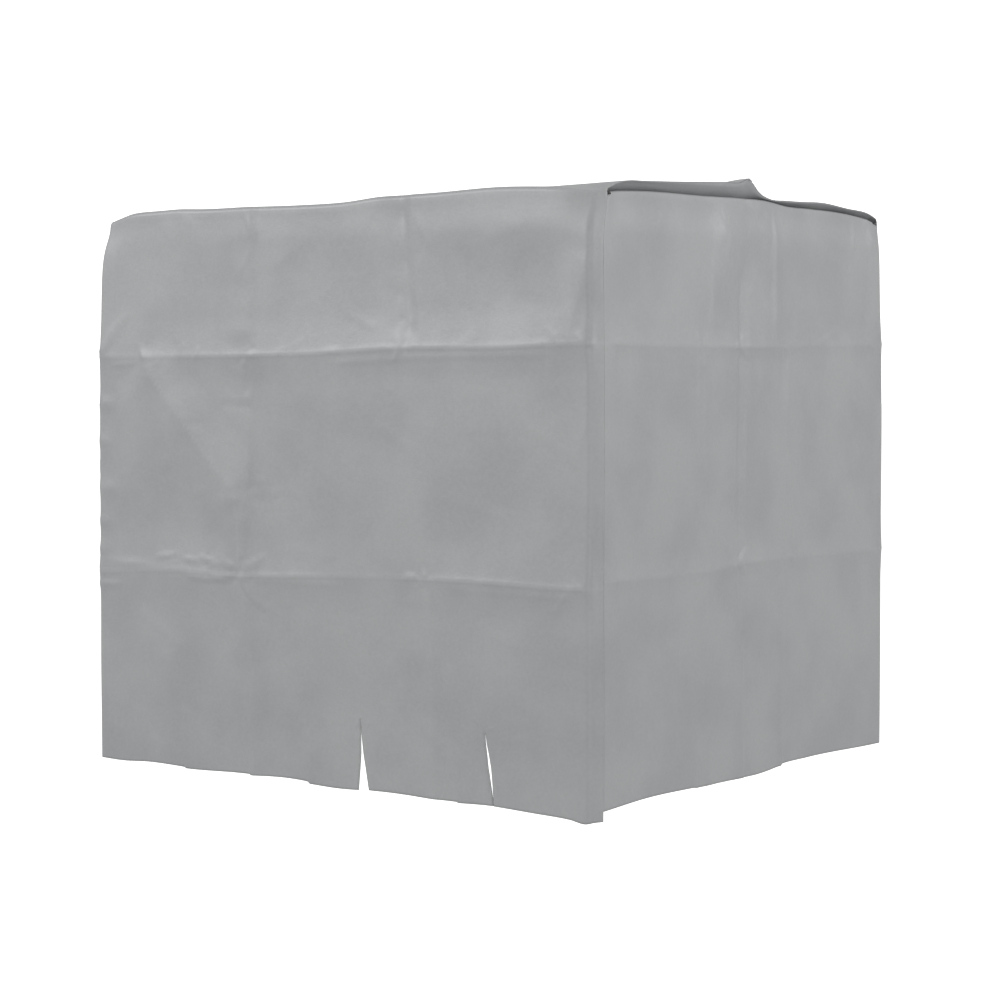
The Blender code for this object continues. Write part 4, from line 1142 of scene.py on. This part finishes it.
def hang_long_cloth(name, node, close, facing, wall, slits=()):
    """Cut and hang one long panel, with slits at these places of its hem."""
    sizes = bpy.context.scene.tank_cover_sizes
    slit_ends = (SLIT_TOP,) if slits else ()
    rows = long_panel_rows(sizes, (*slit_ends, LOW_FOLD, HIGH_FOLD))
    cloth = cut_cloth(name, long_panel_columns(sizes, close, slits), rows)
    trim_corners(cloth, STRIP_HALF)
    curl = None
    if slits:
        cut_slits(cloth)
        curl = open_slits(cloth)
    hang(cloth, lambda across, up: hang_long_panel(across, up, facing, wall), curl)
    make_sheet(cloth, facing > 0, sizes.cloth)
    finish_panel(cloth, node)


class COVER_OT_front_panel(bpy.types.Operator):
    """Hang the front panel, with the two slits of its tap flap"""
    bl_idname = "tank_cover.front_panel"
    bl_label = "Front panel"

    def execute(self, context):
        slits = [at_hem * MM for at_hem, *_ in SLITS]
        hang_long_cloth("front_cloth", "front_panel", FRONT_CLOSE, -1, FRONT, slits)
        return {"FINISHED"}


class COVER_OT_back_panel(bpy.types.Operator):
    """Hang the back panel"""
    bl_idname = "tank_cover.back_panel"
    bl_label = "Back panel"

    def execute(self, context):
        hang_long_cloth("back_cloth", "back_panel", BACK_CLOSE, 1, BACK)
        return {"FINISHED"}


def hang_gusset_cloth(name, node, close, side, wall):
    """Cut and hang one end gusset."""
    sizes = bpy.context.scene.tank_cover_sizes
    cloth = cut_cloth(name, gusset_columns(sizes, close), gusset_rows(sizes))
    trim_corners(cloth, POCKET_EDGE)
    hang(cloth, lambda across, up: hang_gusset(across, up, side, wall))
    make_sheet(cloth, side < 0, sizes.cloth)
    finish_panel(cloth, node)


class COVER_OT_right_gusset(bpy.types.Operator):
    """Hang the right gusset, with its pocket tucked under the top"""
    bl_idname = "tank_cover.right_gusset"
    bl_label = "Right gusset"

    def execute(self, context):
        hang_gusset_cloth("right_gusset_cloth", "right_gusset", RIGHT_CLOSE, 1, RIGHT)
        return {"FINISHED"}


class COVER_OT_left_gusset(bpy.types.Operator):
    """Hang the left gusset, with its pocket tucked under the top"""
    bl_idname = "tank_cover.left_gusset"
    bl_label = "Left gusset"

    def execute(self, context):
        hang_gusset_cloth("left_gusset_cloth", "left_gusset", LEFT_CLOSE, -1, LEFT)
        return {"FINISHED"}


# The stage, in metres from the part's origin
AIM = Vector((0.0084, 0, -0.4744))
CAMERA_AZIMUTH = math.radians(36.22)
CAMERA_RISE = math.radians(2.29)
CAMERA_DISTANCE = 5.16
CAMERA_LENS = 90.2
CAMERA_SHIFT_DOWN = 0.0476
FLOOR_BELOW_HEM = 0.50
FLOOR_RADIUS = 60.0

# Softboxes. Columns: name, place, width, height, power in watts
SOFTBOXES = (
    ("key_softbox", (-3.6, -4.6, 2.7), 3.0, 2.2, 158),
    ("side_softbox", (4.6, 2.2, 1.6), 2.4, 2.4, 82),
    ("top_softbox", (0.6, -0.6, 3.6), 3.4, 3.4, 12),
    ("low_softbox", (4.2, -4.0, -0.4), 2.6, 2.6, 48),
)

# Strength of the studio's own light from below and from above, the heights on a ball of radius 1 between
# which it turns from one to the other, and how the floor and the sweep glow for the camera
LIGHT_BELOW = 0.58
LIGHT_ABOVE = 0.55
LIGHT_TURNS = (-0.4, 0.6)
SWEEP_GLOW = 1.0
FLOOR_GLOW = 0.85
SWEEP_RADIUS = 80.0


def aim_at(piece, target):
    """Turn a camera or a light, which look down -Z, to a place."""
    piece.rotation_euler = (target - piece.location).to_track_quat("-Z", "Y").to_euler()


class COVER_OT_stage(bpy.types.Operator):
    """Set the floor, the soft lights and the camera at the photograph's angle"""
    bl_idname = "tank_cover.stage"
    bl_label = "Stage"

    def execute(self, context):
        colours = context.scene.tank_cover_colours
        bpy.ops.object.select_all(action="DESELECT")
        bpy.ops.mesh.primitive_circle_add(
            vertices=96, radius=FLOOR_RADIUS, fill_type="NGON", location=(0, 0, -DROP - FLOOR_BELOW_HEM))
        floor = context.object
        floor.name = "floor"
        floor.data.materials.append(pale_paint("pale_floor_paint", colours.floor, FLOOR_GLOW))
        show_to_camera_only(floor)

        bpy.ops.mesh.primitive_uv_sphere_add(segments=64, ring_count=32, radius=SWEEP_RADIUS)
        sweep = context.object
        sweep.name = "sweep"
        sweep.data.materials.append(pale_paint("pale_sweep_paint", (1, 1, 1), SWEEP_GLOW))
        show_to_camera_only(sweep)

        for name, place, width, height, power in SOFTBOXES:
            bpy.ops.object.light_add(type="AREA", location=place)
            box = context.object
            box.name = name
            box.data.shape = "RECTANGLE"
            box.data.size = width
            box.data.size_y = height
            box.data.energy = power
            box.visible_camera = False
            aim_at(box, AIM)

        world = bpy.data.worlds.new("studio_white")
        world.use_nodes = True
        tree = world.node_tree
        way = add_node(tree, "ShaderNodeTexCoord").outputs["Generated"]
        height = add_node(tree, "ShaderNodeSeparateXYZ", {"Vector": way}).outputs["Z"]
        strength = add_node(tree, "ShaderNodeMapRange", {"Value": height}, interpolation_type="SMOOTHSTEP",
                            from_min=LIGHT_TURNS[0], from_max=LIGHT_TURNS[1],
                            to_min=LIGHT_BELOW, to_max=LIGHT_ABOVE)
        sky = tree.nodes["Background"]
        sky.inputs["Color"].default_value = (1, 1, 1, 1)
        tree.links.new(strength.outputs["Result"], sky.inputs["Strength"])
        context.scene.world = world

        level = math.cos(CAMERA_RISE)
        away = Vector((math.sin(CAMERA_AZIMUTH) * level, -math.cos(CAMERA_AZIMUTH) * level,
                       math.sin(CAMERA_RISE)))
        bpy.ops.object.camera_add(location=AIM + away * CAMERA_DISTANCE)
        camera = context.object
        camera.name = "photo_camera"
        aim_at(camera, AIM)
        camera.data.lens = CAMERA_LENS
        camera.data.shift_y = -CAMERA_SHIFT_DOWN
        camera.data.dof.use_dof = False
        context.scene.camera = camera
        context.scene.view_settings.view_transform = "Standard"
        return {"FINISHED"}


class COVER_PT_sidebar(bpy.types.Panel):
    """List the cover's pieces in the 3D view's sidebar"""
    bl_idname = "COVER_PT_sidebar"
    bl_label = "Tank Cover"
    bl_space_type = "VIEW_3D"
    bl_region_type = "UI"
    bl_category = "Tank Cover"

    def draw(self, context):
        layout = self.layout
        for group in (context.scene.tank_cover_sizes, context.scene.tank_cover_colours):
            box = layout.box()
            for name in group.__annotations__:
                box.prop(group, name)
        for operator in OPERATORS:
            layout.operator(operator.bl_idname)


OPERATORS = (COVER_OT_front_panel, COVER_OT_back_panel, COVER_OT_right_gusset, COVER_OT_left_gusset,
             COVER_OT_stage)
CLASSES = (CoverSizes, CoverColours, *OPERATORS, COVER_PT_sidebar)


def register():
    for kind in CLASSES:
        bpy.utils.register_class(kind)
    bpy.types.Scene.tank_cover_sizes = bpy.props.PointerProperty(type=CoverSizes)
    bpy.types.Scene.tank_cover_colours = bpy.props.PointerProperty(type=CoverColours)


def unregister():
    del bpy.types.Scene.tank_cover_colours
    del bpy.types.Scene.tank_cover_sizes
    for kind in reversed(CLASSES):
        bpy.utils.unregister_class(kind)


def main():
    register()
    bpy.ops.tank_cover.front_panel()
    bpy.ops.tank_cover.back_panel()
    bpy.ops.tank_cover.right_gusset()
    bpy.ops.tank_cover.left_gusset()
    bpy.ops.tank_cover.stage()


if __name__ == "__main__":
    main()
